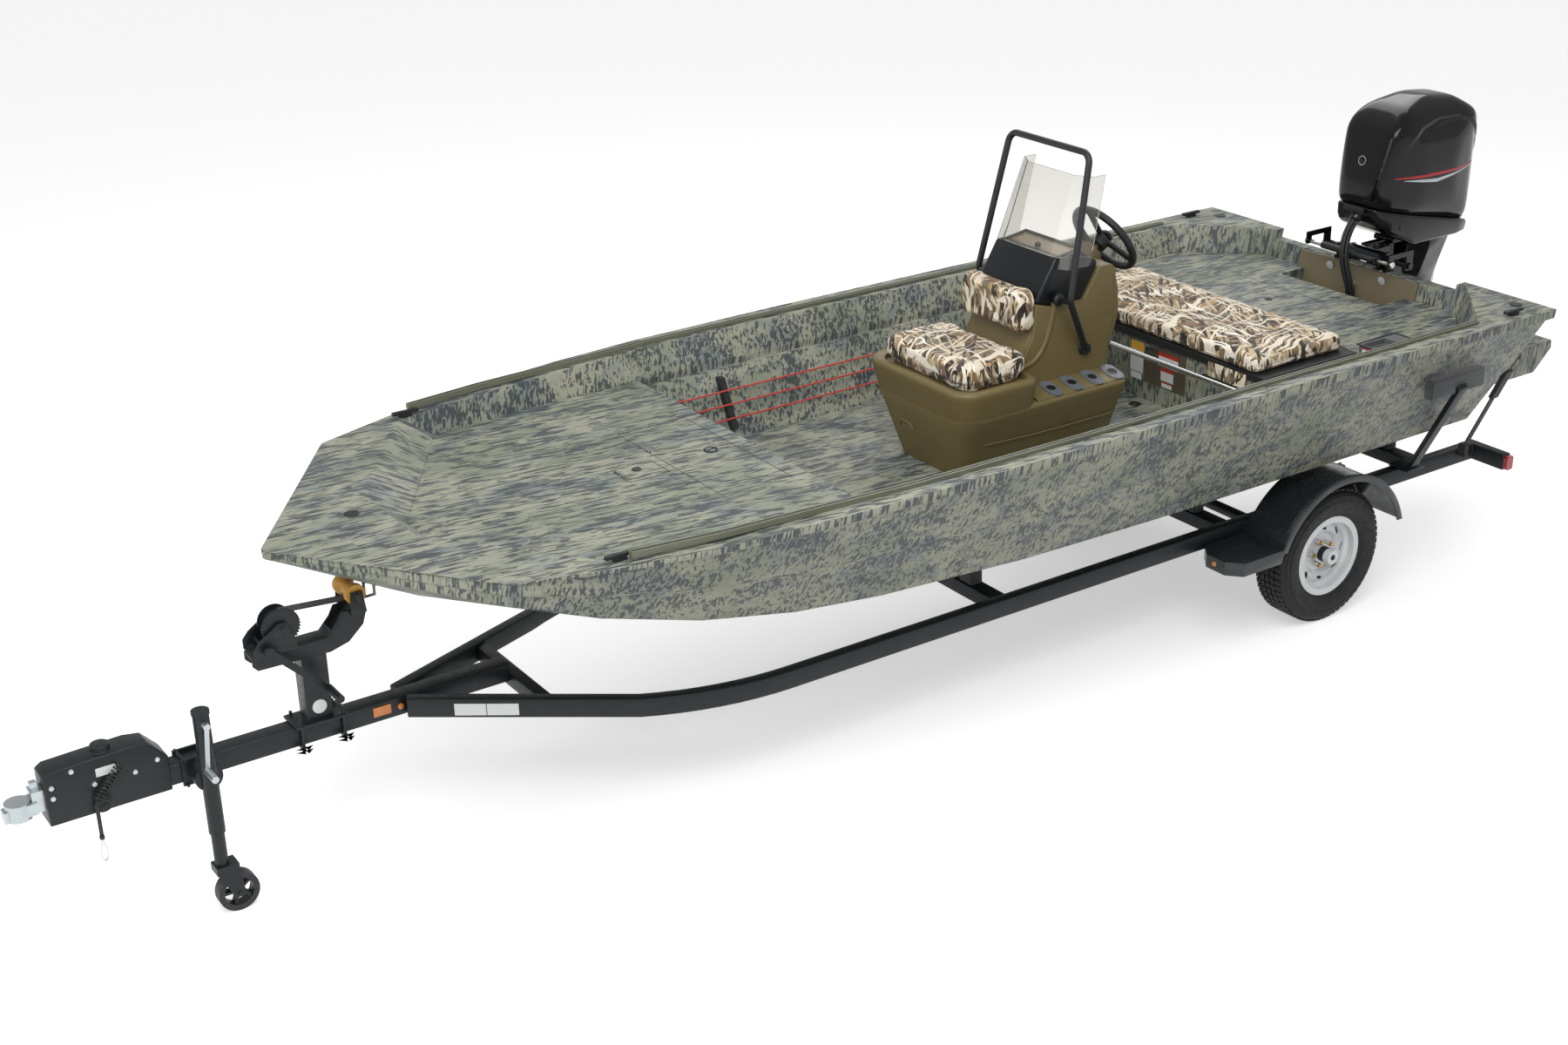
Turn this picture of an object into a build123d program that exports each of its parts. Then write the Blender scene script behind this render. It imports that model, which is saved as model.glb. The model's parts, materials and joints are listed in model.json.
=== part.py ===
"""Welded aluminium jon boat with centre console and outboard motor, parked on its road trailer.

Row frame: +X towards the bow, +Y to port, +Z up, origin on the ground under the middle of the whole length.
Lengths are millimetres. Places along the boat are stations: the distance aft of the bow tip.
"""
from build123d import *
from math import atan2, cos, radians, sin, tan
import os

# Hull
HULL_LENGTH = 5560.0        # bow tip to stern corners
HALF_BEAM = 1065.0          # centreline to the gunwale's outer edge
GUNWALE_Z = 1328.0          # gunwale top amidships, above the ground
CHINE_HALF = HALF_BEAM - 295.0      # half width of the bottom
BOTTOM_Z = 755.0            # underside of the hull amidships
RUB_LIP = 16.0              # how far the gunwale edge stands out from the side
GUNWALE_WIDTH = 120.0       # flat top of the gunwale
TRANSOM_RAKE = 14.5         # degrees the transom leans aft at its top
TRANSOM_THICK = 58.0
TRANSOM_TOP_Z = 1287.0
MOTOR_NOTCH_HALF = 560.0    # half width of the lowered part of the transom

# Decks and cockpit
DECK_Z = 1205.0
DECK_THICK = 28.0
FLOOR_Z = 900.0
FLOOR_THICK = 24.0
FLOOR_HALF = CHINE_HALF - 40.0
DECK_HALF = HALF_BEAM - 181.0       # half width of the inside at deck height
BOW_DECK_AFT = 2000.0
BENCH_FRONT = HULL_LENGTH - 1410.0
BENCH_DEPTH = 560.0
WELL_FRONT = HULL_LENGTH - 270.0    # front edge of the motor well
WELL_HALF = 314.0
FIT = 0.3                   # gap between pieces that seat on each other
LID_GAP = 5.0               # gap round a hinged lid

# Console
CONSOLE_FRONT = 2890.0      # front of the tub at the floor
CONSOLE_REAR = 3720.0
TUB_HALF = 215.0            # at the floor
TUB_FLARE = 95.0            # how much wider each side is at the seat
SEAT_Z = 1285.0
STEP_Z = 1195.0
BODY_HALF = 205.0
BODY_FRONT = 3290.0
BODY_TOP_Z = 1610.0
HELM_Z = 1672.0
POD_TOP_Z = 1748.0
RAIL_R = 14.0
RAIL_TOP_Z = 2178.0
RAIL_HALF = 251.0
HELM_R = 172.0

# Outboard motor
TILT_S = HULL_LENGTH - 30.0
MOTOR_REAR = TILT_S + 740.0         # station of the propeller's rear end
TILT_Z = 1335.0
TILT_TUBE_R = 15.0
STEER_S = TILT_S + 135.0
PLATE_Z = 778.0             # anti-ventilation plate
PROP_Z = 600.0
PROP_R = 160.0
COWL_HALF = 205.0
COWL_TOP_Z = 2078.0

# Trailer
COUPLER_REACH = 1000.0      # coupler nose ahead of the bow tip
TONGUE = 76.0               # square tube
TONGUE_TOP_Z = 587.0
TONGUE_AFT = 884.0
RAIL_WIDTH = 50.0
RAIL_OUTER = 612.0
RAIL_TOP = 517.0
RAIL_AFT = HULL_LENGTH + 130.0
AXLE_S = HULL_LENGTH - 1022.0
TYRE_R = 313.0
TYRE_WIDTH = 185.0
RIM_FLANGE_R = 190.0
RIM_WIDTH = 140.0
TRACK_HALF = 721.5
SPINDLE_R = 19.0
RUN_FIT = 0.05              # radial clearance of turning fits
FENDER_R = 392.0
FENDER_THICK = 5.0
FENDER_IN = 622.0
FENDER_OUT = 862.0
JACK_S = -330.0
JACK_Y = 122.0
JACK_R = 29.0
JACK_WHEEL_R = 76.0

OVERALL_LENGTH = COUPLER_REACH + MOTOR_REAR
BOW_X = OVERALL_LENGTH / 2 - COUPLER_REACH


def at(s, y=0.0, z=0.0):
    """Point at a station."""
    return (BOW_X - s, y, z)


def block(s0, s1, y0, y1, z0, z1):
    """Box between two stations, two widths and two heights."""
    centre = at((s0 + s1) / 2, (y0 + y1) / 2, (z0 + z1) / 2)
    return Pos(*centre) * Box(abs(s1 - s0), abs(y1 - y0), abs(z1 - z0))


def both_sides(shape):
    """The shape and its mirror image across the centreline."""
    return Compound(children=[*shape.solids(), *mirror(shape, Plane.XZ).solids()])


def round_bar(start, end, radius):
    """Cylinder between two points."""
    axis = Vector(*end) - Vector(*start)
    plane = Plane(origin=start, z_dir=axis)
    return plane * Cylinder(radius, axis.length, align=(Align.CENTER, Align.CENTER, Align.MIN))


def flat_bar(start, end, width, thick, x_dir=(1, 0, 0)):
    """Rectangular bar between two points, its width along x_dir."""
    axis = Vector(*end) - Vector(*start)
    plane = Plane(origin=start, z_dir=axis, x_dir=x_dir)
    return plane * Box(width, thick, axis.length, align=(Align.CENTER, Align.CENTER, Align.MIN))


def side_profile(points, y0, y1, radius=0.0, rounded=()):
    """Plate cut to an outline of (station, z) points, between two widths."""
    outline = Face(Wire.make_polygon([Vector(BOW_X - s, y0, z) for s, z in points], close=True))
    if radius:
        corners = [v for v in outline.vertices()
                   if any(abs(BOW_X - points[i][0] - v.X) + abs(points[i][1] - v.Z) < 0.01 for i in rounded)]
        outline = outline.fillet_2d(radius, corners)
    return extrude(outline, y1 - y0, dir=(0, 1, 0))


def plan_profile(points, z0, z1):
    """Plate cut to an outline of (station, y) points, between two heights."""
    outline = Face(Wire.make_polygon([Vector(BOW_X - s, y, z0) for s, y in points], close=True))
    return extrude(outline, z1 - z0, dir=(0, 0, 1))


def bent_tube(points, radius, bend):
    """Round tube along a route with equal bends."""
    path = FilletPolyline(*[Vector(*p) for p in points], radius=bend)
    start = Plane(origin=path @ 0, z_dir=path % 0)
    return sweep(start * Circle(radius), path)


def ruled(polygons):
    """Ruled solid through polygons with equal numbers of corners."""
    faces = [Face(Wire.make_polygon([Vector(*p) for p in polygon], close=True)) for polygon in polygons]
    return loft(faces, ruled=True)


def inner_half(z):
    """Half width of the cockpit at a height, on the sloping inner side."""
    slope = (DECK_HALF - FLOOR_HALF) / (DECK_Z - FLOOR_Z)
    return FLOOR_HALF + (z - FLOOR_Z) * slope


def transom_s(z, depth=0.0):
    """Station of the raked transom at a height, depth mm inside its outer face."""
    return HULL_LENGTH - depth - (GUNWALE_Z - z) * tan(radians(TRANSOM_RAKE))


# Hull sections: station, beam inset, sheer drop, chine inset, chine rise, keel rise
SECTIONS = (
    (554.0, 271.0, 31.0, -5.0, 450.0, 195.0),
    (900.0, 160.0, 26.0, 0.0, 305.0, 110.0),
    (1300.0, 75.0, 18.0, 0.0, 180.0, 50.0),
    (1700.0, 32.0, 10.0, 0.0, 97.0, 18.0),
    (2100.0, 10.0, 4.0, 0.0, 52.0, 0.0),
    (2800.0, 0.0, 0.0, 0.0, 12.0, 0.0),
    (3500.0, 0.0, 0.0, 0.0, 0.0, 0.0),
)
BOW_TIP_Z = 1280.0
BOW_LIP = 30.0
SIDE_STEP = 12.0            # depth of the pressed rib along the side
SIDE_STEP_AT = 0.42         # its height as a share of the side
SIDE_STEP_TALL = 0.06
LIP_TALL = 0.93


def hull_side(z):
    """Half width of the hull's side amidships at a height, on its pressed rib."""
    share = (z - BOTTOM_Z) / (GUNWALE_Z - BOTTOM_Z)
    return CHINE_HALF + (HALF_BEAM - RUB_LIP - CHINE_HALF) * share + SIDE_STEP


def hull_section(station, half_beam, top, chine_half, chine_z, keel_z, lip, step, rake=0.0):
    """Closed outline of the hull at a station; rake leans the section aft at its top."""
    side = half_beam - lip

    def side_at(share, out=0.0):
        return chine_half + (side - chine_half) * share + out, chine_z + (top - chine_z) * share

    half = [
        (chine_half, chine_z),
        side_at(SIDE_STEP_AT),
        side_at(SIDE_STEP_AT + SIDE_STEP_TALL, step),
        side_at(LIP_TALL, step / 2),
        (half_beam, side_at(LIP_TALL)[1]),
        (half_beam, top),
    ]
    ring = [(0.0, keel_z)] + half + [(-y, z) for y, z in reversed(half)]
    lean = tan(radians(rake))
    return [at(station - (top - z) * lean, y, z) for y, z in ring]


def hull_outer():
    tip = hull_section(0.0, 14.0, BOW_TIP_Z, 10.0, BOW_TIP_Z - BOW_LIP, BOW_TIP_Z - BOW_LIP - 1.0, 1.5, 0.6)
    sections = [tip]
    for station, beam_in, drop, chine_in, chine_up, keel_up in SECTIONS:
        sections.append(hull_section(
            station, HALF_BEAM - beam_in, GUNWALE_Z - drop, CHINE_HALF - chine_in,
            BOTTOM_Z + chine_up, BOTTOM_Z + keel_up, RUB_LIP, SIDE_STEP))
    stern = hull_section(HULL_LENGTH, HALF_BEAM, GUNWALE_Z, CHINE_HALF, BOTTOM_Z, BOTTOM_Z,
                         RUB_LIP, SIDE_STEP, TRANSOM_RAKE)
    sections.append(stern)
    body = ruled(sections[:2])
    for front, rear in zip(sections[1:], sections[2:]):
        body = body + ruled([front, rear])
    return body


WELL_TOP_Z = GUNWALE_Z + 17.0

# Edge of the deck well: station and half width at deck height, then at the cutter's top
WELL_EDGE = (
    # station, half, top station, top half
    (574.0, 78.0, 416.0, 300.0),
    (1041.0, DECK_HALF - 55.0, 850.0, HALF_BEAM - 223.0),
    (1500.0, DECK_HALF - 12.0, 1500.0, HALF_BEAM - 153.0),
    (2100.0, DECK_HALF, 2100.0, HALF_BEAM - 110.0),
    (HULL_LENGTH - 400.0, DECK_HALF, HULL_LENGTH - 380.0, HALF_BEAM - 110.0),
    (transom_s(DECK_Z, TRANSOM_THICK), 600.0, transom_s(WELL_TOP_Z, TRANSOM_THICK), 620.0),
)


def well_ring(top, inset=0.0):
    """Outline of the deck well at deck height or at the cutter's top."""
    column = 2 if top else 0
    half = [(row[column], row[column + 1] - inset) for row in WELL_EDGE]
    return half + [(s, -y) for s, y in reversed(half)]


def deck_void():
    """Everything above the decks and inside the gunwales."""
    lower = [at(s, y, DECK_Z) for s, y in well_ring(False)]
    upper = [at(s, y, WELL_TOP_Z) for s, y in well_ring(True)]
    seat = plan_profile(well_ring(False), DECK_Z - DECK_THICK, DECK_Z)
    return ruled([lower, upper]) + seat


def cavity(s0, z0, inset=0.0, z1=DECK_Z - DECK_THICK):
    """Trapezoid void between the inner sides, from a station to the raked transom."""
    low, high = inner_half(z0) - inset, inner_half(z1) - inset
    aft_low = transom_s(z0, TRANSOM_THICK) - inset
    aft_high = transom_s(z1, TRANSOM_THICK) - inset
    lower = [at(s0, low, z0), at(s0, -low, z0), at(aft_low, -low, z0), at(aft_low, low, z0)]
    upper = [at(s0, high, z1), at(s0, -high, z1), at(aft_high, -high, z1), at(aft_high, high, z1)]
    return ruled([lower, upper])


BOW_STORE = (1330.0, 1970.0, 610.0)       # front, aft, half width of the store under the bow deck
BOW_STORE_FLOOR = 985.0
STRAKE_TALL = 20.0
STRAKE_WIDE = 44.0
STRAKES = (225.0, 560.0)
STRAKE_ENDS = (2900.0, HULL_LENGTH - 260.0)
POD_IN, POD_OUT = 400.0, 745.0
POD_AFT = HULL_LENGTH + 440.0
POD_TOP, POD_LOW = 1010.0, 870.0
EYE_S = 372.0               # bow eye
EYE_R = 5.0


def hull_pod():
    """Flotation pod welded to the transom on the port side."""
    front = transom_s(POD_LOW) - 12.0
    points = ((front, POD_LOW), (POD_AFT - 110.0, POD_LOW), (POD_AFT, POD_TOP - 40.0),
              (POD_AFT - 6.0, POD_TOP), (transom_s(POD_TOP) - 12.0, POD_TOP))
    return side_profile(points, POD_IN, POD_OUT)


def keel_z(s):
    """Height of the keel near the bow."""
    front = BOW_TIP_Z - BOW_LIP - 1.0
    first = SECTIONS[0]
    return front + (BOTTOM_Z + first[5] - front) * s / first[0]


def bow_eye():
    """U-bolt under the bow that takes the winch strap."""
    drop = 42.0
    foot = keel_z(EYE_S)
    legs = [block(EYE_S - 24.0 + dx, EYE_S - 14.0 + dx, -EYE_R, EYE_R, foot - drop, foot + 12.0)
            for dx in (0.0, 38.0)]
    bridge = block(EYE_S - 24.0, EYE_S + 24.0, -EYE_R, EYE_R, keel_z(EYE_S) - drop - 9.0, keel_z(EYE_S) - drop)
    return legs[0] + legs[1] + bridge


def hull():
    body = hull_outer()
    body = body + both_sides(hull_pod())
    for half in STRAKES:
        strake = block(*STRAKE_ENDS, half - STRAKE_WIDE / 2, half + STRAKE_WIDE / 2,
                       BOTTOM_Z - STRAKE_TALL, BOTTOM_Z + 5.0)
        body = body + both_sides(strake)
    body = body - deck_void()
    body = body - cavity(BOW_DECK_AFT, FLOOR_Z - FLOOR_THICK)
    front, aft, half = BOW_STORE
    body = body - block(front, aft, -half, half, BOW_STORE_FLOOR, DECK_Z)
    notch = plan_profile([(HULL_LENGTH - 160.0, MOTOR_NOTCH_HALF), (HULL_LENGTH + 60.0, MOTOR_NOTCH_HALF),
                          (HULL_LENGTH + 60.0, -MOTOR_NOTCH_HALF), (HULL_LENGTH - 160.0, -MOTOR_NOTCH_HALF)],
                         TRANSOM_TOP_Z, WELL_TOP_Z)
    body = body - notch
    return body + bow_eye()


# Lids: name, front station, aft station, low y, high y
LIDS = {
    "bow_hatch": (1635.0, 1950.0, -388.0, 388.0),
    "bow_small_hatch": (1424.0, 1600.0, -74.0, 74.0),
    "rear_hatch": (HULL_LENGTH - 770.0, HULL_LENGTH - 440.0, -420.0, 130.0),
}
LID_THICK = 6.0
HINGE_R = 4.0
HINGE_Z = DECK_Z + HINGE_R + FIT     # axis of the lids' hinges


def lid_cut(name):
    front, aft, low, high = LIDS[name]
    return block(front, aft, low, high, DECK_Z - DECK_THICK - 1.0, DECK_Z + 1.0)


def lid_rebate(name):
    """Ledge that the lid rests on, round its hole."""
    front, aft, low, high = LIDS[name]
    edge = 22.0
    outer = block(front, aft, low, high, DECK_Z - DECK_THICK, DECK_Z - LID_THICK - FIT)
    return outer - block(front + edge, aft - edge, low + edge, high - edge, DECK_Z - 60.0, DECK_Z + 1.0)


def lid(name):
    """Flat lid with a pressed rim, hinged at its front edge."""
    front, aft, low, high = LIDS[name]
    gap = LID_GAP / 2
    panel = block(front + gap, aft - gap, low + gap, high - gap, DECK_Z - LID_THICK, DECK_Z)
    stiffener = block(front + 60.0, aft - 60.0, low + 30.0, high - 30.0, DECK_Z - 16.0, DECK_Z - LID_THICK)
    body = panel + stiffener
    reach = 0.3 * (high - low)
    for middle in (low + reach, high - reach):
        knuckle = round_bar(at(front + gap, middle - HINGE_HALF, HINGE_Z), at(front + gap, middle + HINGE_HALF, HINGE_Z),
                            HINGE_R)
        leaf = block(front + gap, front + 24.0, middle - HINGE_HALF, middle + HINGE_HALF, DECK_Z - 1.0, DECK_Z + 2.5)
        body = body + knuckle + leaf
    return body


HINGE_HALF = 17.0           # half length of a hinge knuckle
BULKHEAD_THICK = 20.0


def bow_deck():
    """Front deck plate with its bulkhead facing the cockpit."""
    ring = [(s, y) for s, y in well_ring(False, FIT) if s < BOW_DECK_AFT]
    half = [(s, y) for s, y in ring if y > 0]
    aft_half = 0.995 * DECK_HALF
    half.append((BOW_DECK_AFT + FIT + BULKHEAD_THICK, aft_half - 4.0))
    half[0] = (half[0][0] + FIT, half[0][1])
    outline = half + [(s, -y) for s, y in reversed(half)]
    plate = plan_profile(outline, DECK_Z - DECK_THICK + FIT, DECK_Z)
    for name in ("bow_hatch", "bow_small_hatch"):
        plate = plate - lid_cut(name) + lid_rebate(name)
    return plate


def bow_bulkhead():
    """Panel between the bow deck and the cockpit floor."""
    low, high = FLOOR_Z + FIT, DECK_Z - DECK_THICK + FIT
    corners = [(-inner_half(low) + FIT, low), (inner_half(low) - FIT, low),
               (inner_half(high) - FIT, high), (-inner_half(high) + FIT, high)]
    face = Face(Wire.make_polygon([Vector(*at(BOW_DECK_AFT + FIT, y, z)) for y, z in corners], close=True))
    return extrude(face, BULKHEAD_THICK, dir=(-1, 0, 0))


def cockpit_floor():
    low = FLOOR_Z - FLOOR_THICK + FIT
    sheet = cavity(BOW_DECK_AFT + FIT, low, FIT, FLOOR_Z)
    drain = Pos(*at(BENCH_FRONT - 76.0, 0.0, FLOOR_Z)) * Cylinder(24.0, 10.0)
    return sheet - drain


def rear_bench():
    """Box seat across the boat: front panel with a latch recess, and a top frame under the lid."""
    rear = BENCH_FRONT + BENCH_DEPTH
    top = DECK_Z - DECK_THICK
    shell = cavity(BENCH_FRONT, FLOOR_Z + FIT, FIT, top) & block(BENCH_FRONT, rear, -1000, 1000, 800, 1300)
    inside = block(BENCH_FRONT + 25.0, rear - 25.0, -LID_HALF + 40.0, LID_HALF - 40.0, FLOOR_Z + 40.0, top + 5.0)
    recess = block(BENCH_FRONT - 5.0, BENCH_FRONT + 20.0, -30.0, 190.0, 1090.0, 1150.0)
    return shell - inside - recess


def bench_lid():
    rear = BENCH_FRONT + BENCH_DEPTH
    lid_board = block(BENCH_FRONT - 10.0, rear - LID_GAP, -LID_HALF, LID_HALF, DECK_Z - DECK_THICK + FIT, DECK_Z)
    axis_s = rear - LID_GAP + SEAT_HINGE_R - 0.2
    return lid_board + round_bar(at(axis_s, -LID_HALF + 60.0, DECK_Z), at(axis_s, LID_HALF - 60.0, DECK_Z), SEAT_HINGE_R)


LID_HALF = DECK_HALF - 184.0        # half width of the bench lid
SEAT_HINGE_R = 2.5
CUSHION_TALL = 72.0


def soft_block(s0, s1, y0, y1, z0, z1, radius):
    """Cushion with rounded corners in plan."""
    body = block(s0, s1, y0, y1, z0, z1)
    return fillet(body.edges().filter_by(Axis.Z), radius)


def bench_cushion():
    return soft_block(BENCH_FRONT - 15.0, BENCH_FRONT + BENCH_DEPTH - 10.0, -LID_HALF + 15.0, LID_HALF - 35.0,
                      DECK_Z + FIT, DECK_Z + FIT + CUSHION_TALL, 45.0)


def rear_deck():
    """Aft deck plate, notched for the motor well."""
    front = BENCH_FRONT + BENCH_DEPTH + FIT
    half = [(front, DECK_HALF - 4.0)]
    half += [(s - 3.0, y - 4.0) for s, y in well_ring(False) if y > 0 and s > front]
    outline = half + [(s, -y) for s, y in reversed(half)]
    plate = plan_profile(outline, DECK_Z - DECK_THICK + FIT, DECK_Z)
    plate = plate - block(WELL_FRONT, HULL_LENGTH, -WELL_HALF, WELL_HALF, DECK_Z - 50.0, DECK_Z + 5.0)
    aft = transom_s(DECK_Z - DECK_THICK, TRANSOM_THICK + PLATE_THICK) - 4.0
    plate = plate - block(aft, HULL_LENGTH, -367.0, 367.0, DECK_Z - 50.0, DECK_Z + 5.0)
    return plate - lid_cut("rear_hatch") + lid_rebate("rear_hatch")


WELL_FLOOR_Z = 1010.0


def well_box():
    """Open box under the motor well, closed aft by the transom plate."""
    top = DECK_Z - DECK_THICK + FIT
    depth = TRANSOM_THICK + PLATE_THICK + 2 * FIT

    def box(wall, floor_z, half, rise):
        points = ((WELL_FRONT - 12.0 + wall, floor_z), (transom_s(floor_z, depth) + wall, floor_z),
                  (transom_s(top, depth) + wall, top + rise), (WELL_FRONT - 12.0 + wall, top + rise))
        return side_profile(points, -half, half)

    floor_cut = box(12.0, WELL_FLOOR_Z + 12.0, WELL_HALF, 5.0)
    return box(0.0, WELL_FLOOR_Z, WELL_HALF + 12.0, 0.0) - floor_cut


PLATE_THICK = 12.0
TRANSOM_BOLTS = 161.0       # half spacing of the motor's upper bolts
BOLT_Z = 1252.0


def transom_plate():
    """Coloured backing plate on the inside of the transom, with the two upper bolts."""
    half, low, high = 363.0, WELL_FLOOR_Z + 14.0, TRANSOM_TOP_Z - 6.0

    def s_at(z, depth):
        return transom_s(z, TRANSOM_THICK + FIT + depth)

    points = ((s_at(low, 0.0), low), (s_at(high, 0.0), high), (s_at(high, PLATE_THICK), high),
              (s_at(low, PLATE_THICK), low))
    plate = side_profile(points, -half, half)
    rib = side_profile(((s_at(low, PLATE_THICK), low), (s_at(high - 70.0, PLATE_THICK), high - 70.0),
                        (s_at(high - 90.0, PLATE_THICK + 16.0), high - 90.0),
                        (s_at(low, PLATE_THICK + 16.0), low)), -14.0, 14.0)
    plate = plate + rib
    for y in (-TRANSOM_BOLTS, TRANSOM_BOLTS):
        face = s_at(BOLT_Z, PLATE_THICK)
        normal = (cos(radians(TRANSOM_RAKE)), 0.0, -sin(radians(TRANSOM_RAKE)))
        start = Vector(*at(face + 2.0, y, BOLT_Z))
        tip = start + Vector(*normal) * 12.0
        plate = plate + round_bar(tuple(start), tuple(tip), 20.0)
    return plate


def gunwale_tracks():
    """Slotted accessory tracks along the inner edge of both gunwales."""
    front, aft = 960.0, HULL_LENGTH - 430.0
    rows = [(s, HALF_BEAM - inset) for s, inset in (
        (front, 197.0), (1300.0, 153.0), (1700.0, 131.0), (2100.0, 103.0), (2800.0, 97.0), (aft, 97.0))]
    track = None
    for (s0, y0), (s1, y1) in zip(rows, rows[1:]):
        piece = plan_profile([(s0, y0), (s1, y1), (s1, y1 + 26.0), (s0, y0 + 26.0)],
                             GUNWALE_Z - 10.0, GUNWALE_Z + 12.0)
        track = piece if track is None else track + piece
    track = track - hull_outer()
    return both_sides(track)


# Cleats: station, half width, foot
CLEATS = ((935.0, HALF_BEAM - 215.0, GUNWALE_Z - 24.4), (HULL_LENGTH - 215.0, HALF_BEAM - 65.0, GUNWALE_Z + FIT))


def cleats():
    """Four pull-up mooring cleats on the gunwale."""
    parts = []
    for s, y, z in CLEATS:
        parts.append(block(s - 55.0, s + 55.0, y - 9.0, y + 9.0, z + 12.0, z + 24.0)
                     + block(s - 24.0, s + 24.0, y - 12.0, y + 12.0, z, z + 12.0))
    return both_sides(Compound(children=[p.solid() for p in parts]))


def rod_rack():
    """Brackets on the starboard inner side that hold the rod lines."""
    parts = []
    for s in (2390.0, 3420.0):
        low, high = 950.0, 1150.0
        foot = FIT
        outline = [(-inner_half(low) + foot, low), (-inner_half(high) + foot, high),
                   (-inner_half(high) + 34.0, high), (-inner_half(low) + 34.0, low)]
        face = Face(Wire.make_polygon([Vector(*at(s, y, z)) for y, z in outline], close=True))
        parts.append(extrude(face, 30.0, dir=(-1, 0, 0)))
    return Compound(children=[p.solid() for p in parts])


LINE_R = 4.0
LINE_HEIGHTS = (990.0, 1045.0, 1100.0)


def rod_lines():
    """Three stretched cords between the bow bulkhead and the rear bench."""
    parts = []
    for z in LINE_HEIGHTS:
        y = -inner_half(z) + 34.0 + (LINE_R + FIT) * 1.15
        front = BOW_DECK_AFT + BULKHEAD_THICK + 2 * FIT
        parts.append(round_bar(at(front, y, z), at(BENCH_FRONT - FIT, y, z), LINE_R))
    return Compound(children=[p.solid() for p in parts])


def cross_bar():
    """Bright tube across the cockpit ahead of the bench."""
    z, s = 1138.0, BENCH_FRONT - 72.0
    cup_r = 20.0
    half = inner_half(z - cup_r) - FIT
    bar = round_bar(at(s, -half + 1.0, z), at(s, half - 1.0, z), 12.0)
    cups = [round_bar(at(s, sign * half, z), at(s, sign * (half - 14.0), z), cup_r) for sign in (-1, 1)]
    return bar + cups[0] + cups[1]


def port_tray():
    """Moulded tray let into the aft deck on the port side."""
    s0, s1, y0, y1 = HULL_LENGTH - 845.0, HULL_LENGTH - 600.0, DECK_HALF - 194.0, DECK_HALF - 16.0
    body = block(s0, s1, y0, y1, DECK_Z + FIT, DECK_Z + 34.0)
    body = fillet(body.edges().filter_by(Axis.Z), 24.0)
    hollow = block(s0 + 16.0, s1 - 90.0, y0 + 16.0, y1 - 16.0, DECK_Z + 12.0, DECK_Z + 40.0)
    return body - hollow


HOLDER_STATIONS = (3345.0, 3458.0, 3571.0, 3684.0)
HOLDER_R = 26.0
HOLDER_Y = BODY_HALF + 56.0

# Console sections: z, front station, aft station, half width
TUB_SECTIONS = (
    (FLOOR_Z + FIT, CONSOLE_FRONT, CONSOLE_REAR, TUB_HALF),
    (STEP_Z, 2830.0, CONSOLE_REAR, 330.0),
    (SEAT_Z + 25.0, 2808.0, CONSOLE_REAR, 350.0),
)


def tub_ring(z, front, aft, half, corner=110.0):
    """Outline of the tub at a height, its front corners cut back."""
    ring = [(front, half - corner), (front + corner * 0.8, half), (aft, half)]
    return [at(s, y, z) for s, y in ring] + [at(s, -y, z) for s, y in reversed(ring)]


def console_tub():
    """Moulded base: seat in front, a step with rod holders on each side."""
    lower = ruled([tub_ring(*row) for row in TUB_SECTIONS[:2]])
    upper = ruled([tub_ring(*row) for row in TUB_SECTIONS[1:]])
    body = lower + upper
    step_cut = block(3190.0, 3900.0, BODY_HALF, 500.0, STEP_Z, 1500.0)
    body = body - both_sides(step_cut)
    seat = block(2862.0, 3215.0, -292.0, 292.0, SEAT_Z, SEAT_Z + 90.0)
    body = body - seat
    for y in (-HOLDER_Y, HOLDER_Y):
        for s in HOLDER_STATIONS:
            body = body - Pos(*at(s, y, STEP_Z - 20.0)) * Cylinder(HOLDER_R, 60.0)
    inside = ruled([tub_ring(FLOOR_Z - 20.0, CONSOLE_FRONT + 45.0, CONSOLE_REAR - 30.0, TUB_HALF - 40.0, 60.0),
                    tub_ring(STEP_Z - 60.0, CONSOLE_FRONT + 35.0, CONSOLE_REAR - 30.0, 160.0, 60.0)])
    return body - inside




def rod_holders():
    """Oval flanged cups let into the two steps."""
    parts = []
    for y in (-HOLDER_Y, HOLDER_Y):
        for s in HOLDER_STATIONS:
            flange = Pos(*at(s, y, STEP_Z + FIT)) * extrude(SlotOverall(92.0, 52.0, rotation=90.0), 4.0)
            tube = Pos(*at(s, y, STEP_Z + 1.0)) * Cylinder(
                HOLDER_R - FIT, 48.0, align=(Align.CENTER, Align.CENTER, Align.MAX))
            bore = Pos(*at(s, y, STEP_Z + 10.0)) * Cylinder(
                HOLDER_R - 6.0, 50.0, align=(Align.CENTER, Align.CENTER, Align.MAX))
            parts.append((flange + tube - bore).solid())
    return Compound(children=parts)


def console_body():
    """Moulded upright behind the seat, rising to the helm."""
    low = SEAT_Z + 25.0 + FIT
    points = ((3222.0, low), (BODY_FRONT, 1430.0), (BODY_FRONT + 10.0, BODY_TOP_Z - 40.0),
              (3470.0, BODY_TOP_Z - 90.0), (3560.0, 1540.0), (3640.0, HELM_Z), (3722.0, HELM_Z),
              (3752.0, 1560.0), (3760.0, 1450.0), (CONSOLE_REAR, low))
    body = side_profile(points, -BODY_HALF, BODY_HALF, 30.0, (5, 6))
    return body


def console_pod():
    """Dark dash pod with a tray, seated on the upright."""
    points = ((BODY_FRONT + 10.0 + FIT, BODY_TOP_Z - 40.0 + FIT), (3408.0, POD_TOP_Z), (3560.0, POD_TOP_Z - 22.0),
              (3640.0, 1700.0), (3636.0, HELM_Z + FIT), (3557.0, 1541.0 + FIT), (3469.0, BODY_TOP_Z - 90.0 + FIT))
    return side_profile(points, -BODY_HALF + 10.0, BODY_HALF - 10.0)


SCREEN_THICK = 5.0


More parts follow.
